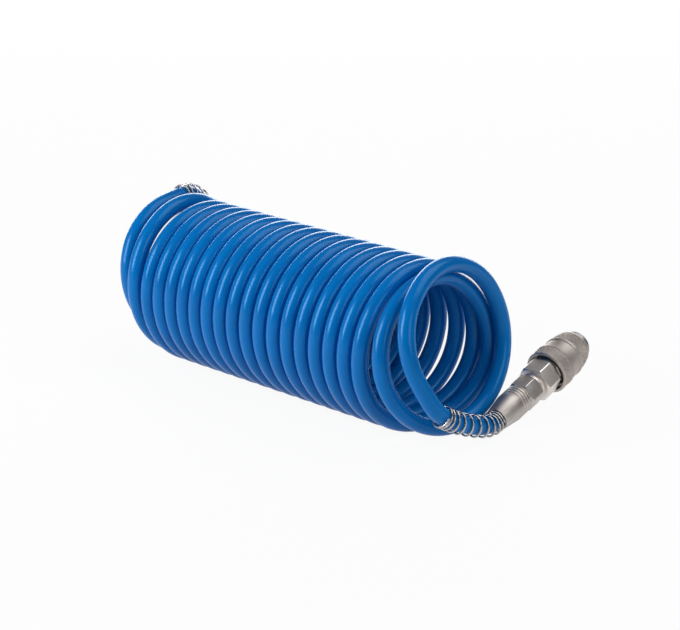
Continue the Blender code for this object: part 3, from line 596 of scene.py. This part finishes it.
def coil_point(turns):
    """Centreline of the wound hose, counted in turns from the bottom of the front loop."""
    angle = 2 * math.pi * turns
    height = (1.0 - math.cos(angle)) / 2
    free = 1.0 - smoothstep(turns, FRONT_FREE_TURN, FRONT_SETTLED_TURN)
    stand_off = FRONT_ADVANCE + FRONT_LEAN * math.cos(angle) + FRONT_YAW * math.sin(angle)
    x = wound_run(ORIGIN_TURN) - wound_run(turns)
    x += free * stand_off + (1.0 - free) * 2 * TURN_LEAN * height
    opening = smoothstep(turns, FAR_OPENING_TURN, FAR_OPEN_TURN)
    opening -= smoothstep(turns, FAR_CLOSING_TURN, FAR_CLOSED_TURN)
    far_side = max(0.0, -math.sin(angle - FAR_OPENING_LAG))
    x += FAR_OPENING * opening * far_side ** FAR_OPENING_POWER
    parted = smoothstep(turns, REAR_PART_START, REAR_PART_END)
    last = smoothstep(turns, LAST_TURN_START, LAST_TURN_END)
    x -= parted * (REAR_GAP + REAR_TILT * height - REAR_YAW * math.sin(angle))
    x += last * (LAST_TURN_CLOSE_IN - LAST_TURN_TILT * height)
    x -= REAR_SWING * smoothstep(turns, REAR_SWING_START, REAR_SWING_END)
    draw = 1.0 - smoothstep(turns, FRONT_DRAWN_TURN, FRONT_FULL_TURN)
    second = smoothstep(turns, SECOND_TURN_START, SECOND_TURN_IN)
    second -= smoothstep(turns, SECOND_TURN_OUT, SECOND_TURN_END)
    radius = COIL_RADIUS - FRONT_DRAW_IN * draw
    radius -= SECOND_TURN_DRAW_IN * second
    radius -= LAST_TURN_DRAW_IN * last
    y = -radius * math.sin(angle)
    lift = free * FRONT_RAISE
    lift += parted * (REAR_BOTTOM_RAISE * (1.0 - height) + REAR_TOP_LIFT * height)
    lift += last * (LAST_TURN_RAISE * (1.0 - height) + LAST_TURN_TOP_LIFT * height)
    z = AXIS_HEIGHT + lift - radius * math.cos(angle)
    return Vector((x, y, z))


def coil_heading(turns):
    """Unit direction of the centreline, towards the rear end."""
    return (coil_point(turns + HEADING_STEP) - coil_point(turns - HEADING_STEP)).normalized()


FRONT_AXIS = Vector((
    -math.sin(FRONT_TURN_IN) * math.cos(FRONT_RISE),
    math.cos(FRONT_TURN_IN) * math.cos(FRONT_RISE),
    math.sin(FRONT_RISE),
))


def smooth_run(start, start_heading, end, end_heading, pull, count):
    """Points on a smooth curve that leaves and arrives along the given headings."""
    reach = pull * (end - start).length
    for index in range(count + 1):
        t = index / count
        keep = 2 * t ** 3 - 3 * t ** 2 + 1
        leave = t ** 3 - 2 * t ** 2 + t
        arrive = t ** 3 - t ** 2
        bend = leave * start_heading + arrive * end_heading
        yield keep * start + (1 - keep) * end + reach * bend


def lead_points(turns, direction, mouth, axis, pull):
    """End of the hose, from the coil at this turn to the mouth of a nut."""
    heading = coil_heading(turns) * direction
    start = coil_point(turns) + heading * (STRAIGHT_RUN + GAP)
    run = start + heading * STRAIGHT_RUN / 2
    before_nut = mouth - axis * NUT_STRAIGHT_RUN
    curve = list(smooth_run(run, heading, before_nut, axis, pull, POINTS_PER_LEAD))
    return [start] + curve + [mouth]


FRONT_LEAD = lead_points(LEAD_TURN, -1, FRONT_NUT, FRONT_AXIS, FRONT_PULL)
REAR_LEAD = lead_points(COIL_END, 1, REAR_NUT, REAR_AXIS, REAR_PULL)


def marks_along(places):
    """Distance of each place from the start of its route."""
    steps = np.linalg.norm(np.diff(places, axis=0), axis=1)
    return np.concatenate([[0.0], np.cumsum(steps)])


def even_points(points, spacing):
    """The same route, with points an even distance apart."""
    places = np.array([tuple(point) for point in points])
    marks = marks_along(places)
    count = max(2, round(marks[-1] / spacing))
    spots = np.linspace(0.0, marks[-1], count + 1)
    return np.stack([np.interp(spots, marks, places[:, axis]) for axis in range(3)], axis=1)


def relaxed(places, passes):
    """Soften the places where straight runs meet bends, with both ends kept."""
    softer = places.copy()
    for _ in range(passes):
        softer[1:-1] = (softer[:-2] + 2 * softer[1:-1] + softer[2:]) / 4
    return softer


def hose_route():
    """Whole centreline, from its seat in the front nut to its seat in the rear nut."""
    count = round((COIL_END - LEAD_TURN) * POINTS_PER_LOOP)
    turns = [LEAD_TURN + (COIL_END - LEAD_TURN) * index / count for index in range(count + 1)]
    wound = [coil_point(turn) for turn in turns]
    front_seat = FRONT_NUT + FRONT_AXIS * (HOSE_END - GAP)
    rear_seat = REAR_NUT + REAR_AXIS * (HOSE_END - GAP)
    route = [front_seat] + FRONT_LEAD[::-1] + wound + REAR_LEAD + [rear_seat]
    spacing = 2 * math.pi * COIL_RADIUS / POINTS_PER_LOOP
    return relaxed(even_points(route, spacing), ROUTE_SOFTENING)


def across(heading):
    """Two directions across a heading, the first as near the coil's axis as can be."""
    side = (COIL_AXIS - heading * COIL_AXIS.dot(heading)).normalized()
    return side, heading.cross(side)


# Fitting frames

def fitting_frame(place, axis):
    """Matrix at the mouth of a nut with its Z along the fitting."""
    side = Vector((0.0, 0.0, 1.0)).cross(axis).normalized()
    up = axis.cross(side)
    turn = Matrix((side, up, axis)).transposed().to_4x4()
    return Matrix.Translation(place) @ turn


FRONT_FITTING = fitting_frame(FRONT_NUT, FRONT_AXIS)
REAR_FITTING = fitting_frame(REAR_NUT, REAR_AXIS)


# Making pieces

def add_object(name, data):
    """New object in the scene."""
    item = bpy.data.objects.new(name, data)
    bpy.context.scene.collection.objects.link(item)
    return item


def add_piece(name, data, finish, body, nodes, place=None):
    """Put a finished piece in the scene, on its body, in place of its nodes."""
    piece = add_object(name, data)
    if place is not None:
        piece.matrix_world = place
    piece.data.materials.append(finish)
    bpy.context.view_layer.update()
    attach(piece, body)
    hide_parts(*nodes)
    return piece


def shade(mesh):
    """Shade smoothly, with real edges kept sharp."""
    mesh.shade_smooth()
    mesh.set_sharp_from_angle(angle=SHARP_ANGLE)


def eased(outline, ease=EDGE_EASE):
    """Closed outline with each corner rounded off a little."""
    points = [Vector(point) for point in outline]
    soft = []
    for index, corner in enumerate(points):
        before = points[index - 1] - corner
        after = points[(index + 1) % len(points)] - corner
        cut = min(ease, EDGE_EASE_SHARE * before.length, EDGE_EASE_SHARE * after.length)
        first = corner + before.normalized() * cut
        last = corner + after.normalized() * cut
        middle = (first + last) / 4 + corner / 2
        soft += [first, middle, last]
    return soft


def turned_mesh(name, outline, steps=TURN_STEPS):
    """Closed half section of (radius, height) pairs spun about Z."""
    count = len(outline)
    angles = [2 * math.pi * index / steps for index in range(steps)]
    points = []
    for angle in angles:
        points += [(r * math.cos(angle), r * math.sin(angle), z) for r, z in outline]
    faces = []
    for step in range(steps):
        here = step * count
        there = (step + 1) % steps * count
        for index in range(count):
            ahead = (index + 1) % count
            faces.append((here + index, here + ahead, there + ahead, there + index))
    mesh = bpy.data.meshes.new(name)
    mesh.from_pydata(points, [], faces)
    tidy_mesh(mesh)
    return mesh


def tidy_mesh(mesh):
    """Join doubled points, turn the faces outward and shade the mesh."""
    work = bmesh.new()
    work.from_mesh(mesh)
    bmesh.ops.remove_doubles(work, verts=work.verts, dist=MERGE)
    bmesh.ops.recalc_face_normals(work, faces=work.faces)
    work.to_mesh(mesh)
    work.free()
    shade(mesh)


def basic_mesh(name, make, **settings):
    """Mesh of one basic shape, such as a cube."""
    mesh = bpy.data.meshes.new(name)
    work = bmesh.new()
    make(work, **settings)
    work.to_mesh(mesh)
    work.free()
    return mesh


def cut_mesh(mesh, cutters, ease=0.0):
    """Mesh with the cutters taken out, and its new edges eased."""
    blank = add_object("blank", mesh)
    helpers = [blank]
    for cutter, place in cutters:
        tool = add_object("cutter", cutter)
        tool.matrix_world = place
        modifier = blank.modifiers.new("cut", 'BOOLEAN')
        modifier.operation = 'DIFFERENCE'
        modifier.object = tool
        helpers.append(tool)
    if ease:
        bevel = blank.modifiers.new("ease", 'BEVEL')
        bevel.width = ease
        bevel.segments = HEX_EASE_STEPS
        bevel.limit_method = 'ANGLE'
        bevel.angle_limit = HEX_EASE_ANGLE
        bevel.use_clamp_overlap = True
    graph = bpy.context.evaluated_depsgraph_get()
    result = bpy.data.meshes.new_from_object(blank.evaluated_get(graph))
    result.name = mesh.name
    result.materials.clear()
    for helper in helpers:
        bpy.data.objects.remove(helper, do_unlink=True)
    shade(result)
    return result


def hex_mill(across_flats, low, high):
    """Ring with a six-sided hole, which leaves six flats on what it cuts."""
    corner = across_flats / math.sqrt(3)
    outside = corner + across_flats
    section = [(outside, high), (outside, low), (corner, low), (corner, high)]
    mesh = turned_mesh("hex_mill", section, 6)
    return mesh, Matrix.Identity(4)


def hex_blank(across_flats, low, high):
    """Outer line of a turned hex blank with chamfered ends, top to bottom."""
    corner = across_flats / math.sqrt(3) * CORNER_TURNED
    edge = across_flats / 2
    return [(edge, high), (corner, high - HEX_CHAMFER), (corner, low + HEX_CHAMFER), (edge, low)]


# Hose

def hose_section(turn_share):
    """Half thickness and half width of the hose: round in the leads, oval where it is wound."""
    thick = HOSE_OD + (WOUND_THICKNESS - HOSE_OD) * turn_share
    wide = HOSE_OD + (WOUND_WIDTH - HOSE_OD) * turn_share
    return thick / 2, wide / 2


def make_hose():
    """One tube from nut to nut, pressed flat where it lies on the floor."""
    route = hose_route()
    marks = marks_along(route)
    total = marks[-1]
    wound_start = GUARD_LENGTH + HOSE_END
    points = []
    for index, place in enumerate(route):
        ahead = route[min(index + 1, len(route) - 1)]
        behind = route[max(index - 1, 0)]
        heading = Vector(ahead - behind).normalized()
        side, rise = across(heading)
        from_end = float(min(marks[index], total - marks[index]))
        share = smoothstep(from_end, wound_start, wound_start + WOUND_EASE)
        thick, wide = hose_section(share)
        for corner in range(HOSE_SIDES):
            angle = 2 * math.pi * corner / HOSE_SIDES
            point = Vector(place) + wide * math.cos(angle) * side + thick * math.sin(angle) * rise
            points.append((point.x, point.y, max(point.z, 0.0)))
    rings = len(route)
    faces = []
    for ring in range(rings - 1):
        for corner in range(HOSE_SIDES):
            ahead = (corner + 1) % HOSE_SIDES
            here = ring * HOSE_SIDES
            there = here + HOSE_SIDES
            faces.append((here + corner, here + ahead, there + ahead, there + corner))
    faces.append(tuple(range(HOSE_SIDES))[::-1])
    faces.append(tuple((rings - 1) * HOSE_SIDES + corner for corner in range(HOSE_SIDES)))
    mesh = bpy.data.meshes.new("air_hose")
    mesh.from_pydata(points, [], faces)
    tidy_mesh(mesh)
    hose = add_piece("air_hose", mesh, HOSE_BLUE, "hose_assembly",
                     ["hose_coil", "front_hose_lead", "rear_hose_lead"])
    return hose, route, total


# Guards

def guard_curve(name, lead):
    """Wire wound along the end of the hose, closer at both ends, with a looser first curl."""
    places = even_points(lead, GUARD_SPACING)
    marks = marks_along(places)
    stop = marks[-1] - GUARD_WIRE / 2 - GAP

    def at(spot):
        """Place on the lead this far along it."""
        return Vector([np.interp(spot, marks, places[:, axis]) for axis in range(3)])

    radius = HOSE_OD / 2 + GUARD_CLEARANCE + GUARD_WIRE / 2
    count = GUARD_CURLS * POINTS_PER_CURL
    curve = bpy.data.curves.new(name, 'CURVE')
    curve.dimensions = '3D'
    curve.bevel_depth = GUARD_WIRE / 2
    curve.bevel_resolution = GUARD_WIRE_FINENESS
    curve.use_fill_caps = True
    spline = curve.splines.new('POLY')
    spline.points.add(count)
    for index in range(count + 1):
        share = index / count
        wave = GUARD_END_TIGHTNESS * math.sin(2 * math.pi * share) / (2 * math.pi)
        spot = stop - GUARD_LENGTH * (1.0 - share + wave)
        heading = (at(spot + GUARD_REACH) - at(spot - GUARD_REACH)).normalized()
        flare = max(0.0, 1.0 - share / GUARD_FLARE_SHARE) * GUARD_FLARE
        side, rise = across(heading)
        turn = 2 * math.pi * GUARD_CURLS * share
        offset = (radius + flare) * (math.cos(turn) * side + math.sin(turn) * rise)
        spline.points[index].co = (*(at(spot) + offset), 1.0)
    spline.use_smooth = True
    return curve


def make_guard(end, lead):
    """Wire guard over one end of the hose."""
    name = end + "_guard_wire"
    curve = guard_curve(name, lead)
    return add_piece(name, curve, GUARD_STEEL, "hose_assembly",
                     [end + "_spring_guard"])


# Nuts, stem, plug

def nut_grooves():
    """Outer line of the grooved length of a nut, from the hex down to the taper."""
    radius = NUT_OD / 2
    floor = radius - NUT_GROOVE_DEPTH
    top = NUT_ROUND_LENGTH - NUT_GROOVE_WIDTH
    for index in range(NUT_GROOVES):
        high = top - index * NUT_GROOVE_PITCH
        low = high - NUT_GROOVE_WIDTH
        yield from ((radius, high), (floor, high - GAP), (floor, low + GAP), (radius, low))


def make_nut(end, place):
    """Grooved clamp nut with a milled hex."""
    thread_bore = THREAD_OD / 2 + GAP
    hose_bore = HOSE_OD / 2 + GAP
    outline = hex_blank(NUT_HEX_AF, NUT_ROUND_LENGTH, NUT_LENGTH)
    outline += list(nut_grooves())
    outline += [(NUT_OD / 2, NUT_TAPER), (NUT_MOUTH_OD / 2, 0.0)]
    outline += [(hose_bore, 0.0), (hose_bore, HOSE_END - GAP)]
    outline += [(thread_bore, HOSE_END - GAP), (thread_bore, NUT_LENGTH)]
    blank = turned_mesh(end + "_clamp_nut", eased(outline))
    mesh = cut_mesh(blank, [hex_mill(NUT_HEX_AF, NUT_ROUND_LENGTH, NUT_LENGTH + GAP)], HEX_EASE)
    return add_piece(end + "_clamp_nut", mesh, NUT_NICKEL, "hose_assembly",
                     [end + "_nut"], place)


def thread_line(high, low):
    """Outer line of the thread under a nut, top to bottom."""
    crest = THREAD_OD / 2
    root = crest - THREAD_DEPTH
    count = round((high - low) / THREAD_PITCH)
    line = []
    for index in range(count):
        top = high - (high - low) * index / count
        line += [(root, top), (crest, top - (high - low) / count / 2)]
    return line + [(root, low)]


def stem_line():
    """Outer line from the collar down to the tip of the stem."""
    line = [(COLLAR_OD / 2, HEX_START), (COLLAR_OD / 2, COLLAR_START)]
    line += thread_line(COLLAR_START - GAP, HOSE_END + GAP)
    return line + [(STEM_OD / 2, HOSE_END + GAP), (STEM_OD / 2, STEM_TIP)]


def make_coupler_stem():
    """Stem, thread, collar and large hex of the coupler."""
    spigot = SPIGOT_OD / 2
    outline = [(spigot, SPIGOT_END), (spigot, BODY_HEX_END)]
    outline += hex_blank(BODY_HEX_AF, HEX_START, BODY_HEX_END) + stem_line()
    outline += [(STEM_BORE / 2, STEM_TIP), (STEM_BORE / 2, SPIGOT_END)]
    blank = turned_mesh("coupler_hex_stem", eased(outline))
    mill = hex_mill(BODY_HEX_AF, HEX_START - GAP, BODY_HEX_END + GAP)
    mesh = cut_mesh(blank, [mill], HEX_EASE)
    return add_piece("coupler_hex_stem", mesh, HEX_NICKEL, "hose_assembly",
                     ["coupler_stem"], FRONT_FITTING)


def make_plug():
    """Stem, hex and nipple of the far end."""
    land = PLUG_OD / 2
    neck = PLUG_NECK_OD / 2
    shoulder = PLUG_SHOULDER_OD / 2
    shoulder_end = PLUG_HEX_END + PLUG_SHOULDER_LENGTH
    neck_end = PLUG_NECK_START + PLUG_NECK_LENGTH
    outline = [(PLUG_TIP_OD / 2, PLUG_END), (land, PLUG_END - PLUG_TIP_TAPER), (land, neck_end)]
    outline += [(neck, neck_end - (land - neck)), (neck, PLUG_NECK_START + (land - neck))]
    outline += [(land, PLUG_NECK_START), (land, shoulder_end), (shoulder, shoulder_end)]
    outline += [(shoulder, PLUG_HEX_END)] + hex_blank(PLUG_HEX_AF, HEX_START, PLUG_HEX_END)
    outline += stem_line() + [(STEM_BORE / 2, STEM_TIP), (STEM_BORE / 2, PLUG_END)]
    blank = turned_mesh("hose_plug", eased(outline))
    mill = hex_mill(PLUG_HEX_AF, HEX_START - GAP, PLUG_HEX_END + GAP)
    mesh = cut_mesh(blank, [mill], HEX_EASE)
    return add_piece("hose_plug", mesh, HEX_NICKEL, "hose_assembly",
                     ["male_plug"], REAR_FITTING)


# Coupler

def barrel_outline():
    """Outer line of the barrel, from its nose to its rear."""
    barrel = BARREL_OD / 2
    groove = barrel - RING_GROOVE_DEPTH
    nose = BODY_END - NOSE_LENGTH
    edge = MOUTH_CHAMFER / 2
    line = [(barrel - edge, BODY_END), (barrel, BODY_END - edge), (barrel, nose), (groove, nose)]
    return line + [(groove, RING_START - GAP), (barrel, RING_START - GAP), (barrel, BODY_START)]


def barrel_bore():
    """Inner line of the barrel, from its rear to its mouth."""
    chamber = CHAMBER_BORE / 2
    socket = SOCKET_BORE / 2
    seat = SEAT_BORE / 2
    groove_low = SOCKET_START + ORING_SETBACK
    groove_high = groove_low + ORING_GROOVE_WIDTH
    groove = ORING_INNER / 2 + ORING_WIRE + GAP
    line = [(chamber, BODY_START), (chamber, SEAT_START), (seat, SEAT_START), (seat, SOCKET_START)]
    line += [(socket, SOCKET_START), (socket, groove_low), (groove, groove_low)]
    line += [(groove, groove_high), (socket, groove_high), (socket, BODY_END - MOUTH_CHAMFER)]
    return line + [(socket + MOUTH_CHAMFER, BODY_END)]


def ball_hole():
    """Drill that makes two opposite ball holes."""
    radius = BALL_OD / 2 + BALL_HOLE_CLEARANCE
    return basic_mesh("ball_hole", bmesh.ops.create_cone, cap_ends=True, segments=HOLE_SIDES,
                      radius1=radius, radius2=radius, depth=2 * BARREL_OD)


def make_barrel():
    """Barrel of the coupler, with its ball holes."""
    blank = turned_mesh("coupler_barrel", eased(barrel_outline() + barrel_bore(), EDGE_EASE / 2))
    drills = []
    for index in range(BALL_COUNT // 2):
        laid = Matrix.Rotation(math.pi / 2, 4, 'X')
        turn = Matrix.Rotation(2 * math.pi * index / BALL_COUNT, 4, 'Z') @ laid
        drills.append((ball_hole(), Matrix.Translation((0.0, 0.0, BALL_STATION)) @ turn))
    mesh = cut_mesh(blank, drills)
    return add_piece("coupler_barrel", mesh, SLEEVE_NICKEL, "hose_assembly",
                     ["coupler_body"], FRONT_FITTING)


def make_stop_ring():
    """Open ring that stops the sleeve."""
    inner = BARREL_OD / 2 - RING_GROOVE_DEPTH + GAP
    outer = RING_OD / 2
    outline = [(outer, RING_END), (outer, RING_START), (inner, RING_START), (inner, RING_END)]
    blank = turned_mesh("sleeve_stop_ring", eased(outline))
    opening = Matrix.Diagonal((RING_OD, RING_GAP_WIDTH, 4 * RING_THICKNESS, 1.0))
    slot = basic_mesh("ring_gap", bmesh.ops.create_cube, size=1.0, matrix=opening)
    place = Matrix.Translation((RING_OD / 2, 0.0, (RING_START + RING_END) / 2))
    mesh = cut_mesh(blank, [(slot, place)])
    return add_piece("sleeve_stop_ring", mesh, SPRING_STEEL, "hose_assembly",
                     ["snap_ring"], FRONT_FITTING)


def sleeve_front():
    """Rounded front of the sleeve, from its lip down to the ridge."""
    front = SLEEVE_FRONT_OD / 2
    nose = SLEEVE_NOSE_OD / 2
    run = SLEEVE_END - SLEEVE_RIDGE_END
    for index in range(SLEEVE_FRONT_STEPS):
        share = 1.0 - index / SLEEVE_FRONT_STEPS
        radius = front - (front - nose) * share ** SLEEVE_FRONT_POWER
        yield radius, SLEEVE_RIDGE_END + run * share
    yield front, SLEEVE_RIDGE_END


def sleeve_bore():
    """Inner line of the sleeve: skirt, room for the spring, land and ball ramp."""
    skirt = BODY_HEX_AF / math.sqrt(3) * CORNER_TURNED + SKIRT_CLEARANCE
    skirt_end = SLEEVE_START + SLEEVE_TRAVEL + SKIRT_MARGIN - (BODY_START - BODY_HEX_END)
    room = SPRING_ROOM_OD / 2
    land = SLEEVE_BORE / 2
    deep = land + RAMP_SLOPE * (RAMP_END - RAMP_START)
    line = [(skirt, SLEEVE_START), (skirt, skirt_end), (room, skirt_end), (room, SLEEVE_SHOULDER)]
    line += [(land, SLEEVE_SHOULDER), (land, RAMP_START), (deep, RAMP_END)]
    return line + [(land, RAMP_END + (deep - land)), (land, SLEEVE_END)]


def knurl_lines(low, high):
    """Heights of the rows of points on the knurled grip, top to bottom."""
    count = round((high - low) / KNURL_PITCH * KNURL_FINENESS)
    return [high - (high - low) * index / count for index in range(count + 1)]


def knurl_depth(angle, height):
    """Depth of the crossed grooves below the grip at a place on it."""
    around = angle / (2 * math.pi) * KNURL_ROWS
    along = height / KNURL_PITCH
    waves = []
    for phase in (around + along, around - along):
        waves.append(abs(2 * (phase % 1.0) - 1.0))
    return KNURL_DEPTH * (1.0 - min(1.0, KNURL_STEEPNESS * min(waves)))


def sleeve_outline():
    """Closed half section of the sleeve, with rows of points where the grip is knurled."""
    full = SLEEVE_OD / 2
    ridge = SLEEVE_RIDGE_OD / 2
    above = list(sleeve_front()) + [(ridge, SLEEVE_RIDGE_END), (ridge, SLEEVE_BAND_END)]
    above += [(SLEEVE_BAND_FRONT_OD / 2, SLEEVE_BAND_END), (SLEEVE_BAND_OD / 2, SLEEVE_GRIP_END)]
    grip = [(full, SLEEVE_GRIP_END), (full, SLEEVE_GRIP_LOW)]
    below = [(full - SLEEVE_EDGE, SLEEVE_START)] + sleeve_bore()
    outline = [tuple(point) for point in eased(above + grip + below)]
    rows = [(full, z) for z in knurl_lines(SLEEVE_GRIP_LOW, SLEEVE_GRIP_END) if on_grip(full, z)]
    foot = next(index for index, (radius, z) in enumerate(outline)
                if abs(z - SLEEVE_GRIP_LOW) < EDGE_EASE and radius > full - EDGE_EASE)
    outline[foot:foot] = rows
    return outline


def on_grip(radius, z):
    """Whether a point of the sleeve lies on its knurled grip."""
    inside = SLEEVE_GRIP_LOW + EDGE_EASE < z < SLEEVE_GRIP_END - EDGE_EASE
    return radius > SLEEVE_OD / 2 - MERGE and inside


def on_front(radius, z):
    """Whether a point of the sleeve lies on its knurled front."""
    inside = SLEEVE_RIDGE_END + SLEEVE_EDGE < z < SLEEVE_END - SLEEVE_FRONT_LIP
    return radius > SLEEVE_BORE / 2 + SLEEVE_FRONT_WALL and inside


def make_sleeve():
    """Sliding sleeve, turned and then knurled."""
    mesh = turned_mesh("knurled_sleeve", sleeve_outline(), KNURL_ROWS * KNURL_FINENESS)
    for vertex in mesh.vertices:
        x, y, z = vertex.co
        radius = math.hypot(x, y)
        if on_grip(radius, z) or on_front(radius, z):
            depth = knurl_depth(math.atan2(y, x), z)
            vertex.co = (x * (radius - depth) / radius, y * (radius - depth) / radius, z)
    shade(mesh)
    return add_piece("knurled_sleeve", mesh, SLEEVE_NICKEL, "sleeve",
                     ["sleeve"], FRONT_FITTING)


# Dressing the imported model

def make_coupler_spring(name, node):
    """Hidden spring of the coupler, a copy of its imported shape."""
    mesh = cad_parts[node].data.copy()
    mesh.name = name
    mesh.materials.clear()
    shade(mesh)
    spring = add_piece(name, mesh, SPRING_STEEL, "hose_assembly", [node])
    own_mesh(spring)
    return spring


def paint_inner_pieces():
    """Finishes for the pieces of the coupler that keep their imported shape."""
    finishes = {
        "valve_poppet": VALVE_BRASS,
        "poppet_seal": SEAL_BLACK,
        "socket_o_ring": SEAL_BLACK,
        "body_gasket": SEAL_BLACK,
    }
    for index in range(BALL_COUNT):
        finishes[f"lock_ball_{index + 1}"] = BALL_STEEL
    for name, finish in finishes.items():
        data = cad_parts[name].data
        data.materials.clear()
        data.materials.append(finish)


def dress():
    """Make every piece."""
    hose, route, length = make_hose()
    front_guard = make_guard("front", FRONT_LEAD)
    rear_guard = make_guard("rear", REAR_LEAD)
    make_nut("front", FRONT_FITTING)
    rear_nut = make_nut("rear", REAR_FITTING)
    make_coupler_stem()
    plug = make_plug()
    make_barrel()
    make_stop_ring()
    make_sleeve()
    make_coupler_spring("sleeve_coil_spring", "sleeve_spring")
    make_coupler_spring("valve_coil_spring", "poppet_spring")
    paint_inner_pieces()


# Studio

def make_camera():
    """Camera that sees the part as the photograph does."""
    data = bpy.data.cameras.new("photo_camera")
    data.sensor_width = SENSOR_WIDTH
    data.lens = CAMERA_SCALE * CAMERA_DISTANCE * SENSOR_WIDTH / PHOTO_WIDTH
    camera = add_object("photo_camera", data)
    level = math.cos(CAMERA_ELEVATION)
    back = Vector((math.sin(CAMERA_AZIMUTH) * level, -math.cos(CAMERA_AZIMUTH) * level,
                   math.sin(CAMERA_ELEVATION)))
    camera.location = CAMERA_AIM + back * CAMERA_DISTANCE
    camera.rotation_euler = (-back).to_track_quat('-Z', 'Y').to_euler()
    bpy.context.scene.camera = camera


def make_floor():
    """White floor that glows for the camera and in reflections."""
    mesh = basic_mesh("studio_floor", bmesh.ops.create_grid,
                      x_segments=1, y_segments=1, size=FLOOR_SIZE / 2)
    floor = add_object("studio_floor", mesh)
    material = bpy.data.materials.new("floor_white")
    material.use_nodes = True
    tree = material.node_tree
    shader = tree.nodes["Principled BSDF"]
    shader.inputs["Base Color"].default_value = FLOOR_GREY
    shader.inputs["Roughness"].default_value = FLOOR_ROUGHNESS
    glow = add_node(tree, 'ShaderNodeEmission')
    glow.inputs["Color"].default_value = WHITE
    path = add_node(tree, 'ShaderNodeLightPath')
    seen = add_node(tree, 'ShaderNodeMath', operation='MAXIMUM')
    for index, (ray, share) in enumerate(FLOOR_GLOW):
        part = add_node(tree, 'ShaderNodeMath', operation='MULTIPLY')
        part.inputs[1].default_value = share
        tree.links.new(path.outputs[ray], part.inputs[0])
        tree.links.new(part.outputs["Value"], seen.inputs[index])
    mix = add_node(tree, 'ShaderNodeMixShader')
    tree.links.new(seen.outputs["Value"], mix.inputs["Fac"])
    tree.links.new(shader.outputs["BSDF"], mix.inputs[1])
    tree.links.new(glow.outputs["Emission"], mix.inputs[2])
    tree.links.new(mix.outputs["Shader"], tree.nodes["Material Output"].inputs["Surface"])
    mesh.materials.append(material)


def make_soft_box(name, place, size, power, aim):
    """Rectangular lamp turned towards its aim."""
    data = bpy.data.lights.new(name, 'AREA')
    data.shape = 'RECTANGLE'
    data.size = size[0]
    data.size_y = size[1]
    data.energy = power
    lamp = add_object(name, data)
    lamp.location = place
    lamp.rotation_euler = (Vector(place) - Vector(aim)).to_track_quat('Z', 'Y').to_euler()


def make_world():
    """Faint even light from all round."""
    world = bpy.data.worlds.new("studio_world")
    world.use_nodes = True
    bpy.context.scene.world = world
    sky = world.node_tree.nodes["Background"]
    sky.inputs["Color"].default_value = SKY_COLOUR
    sky.inputs["Strength"].default_value = SKY_STRENGTH


def light_studio():
    """World, floor and soft boxes."""
    make_world()
    make_floor()
    for box in SOFT_BOXES:
        make_soft_box(*box)


dress()
make_camera()
light_studio()
bpy.context.scene.view_settings.view_transform = 'Standard'
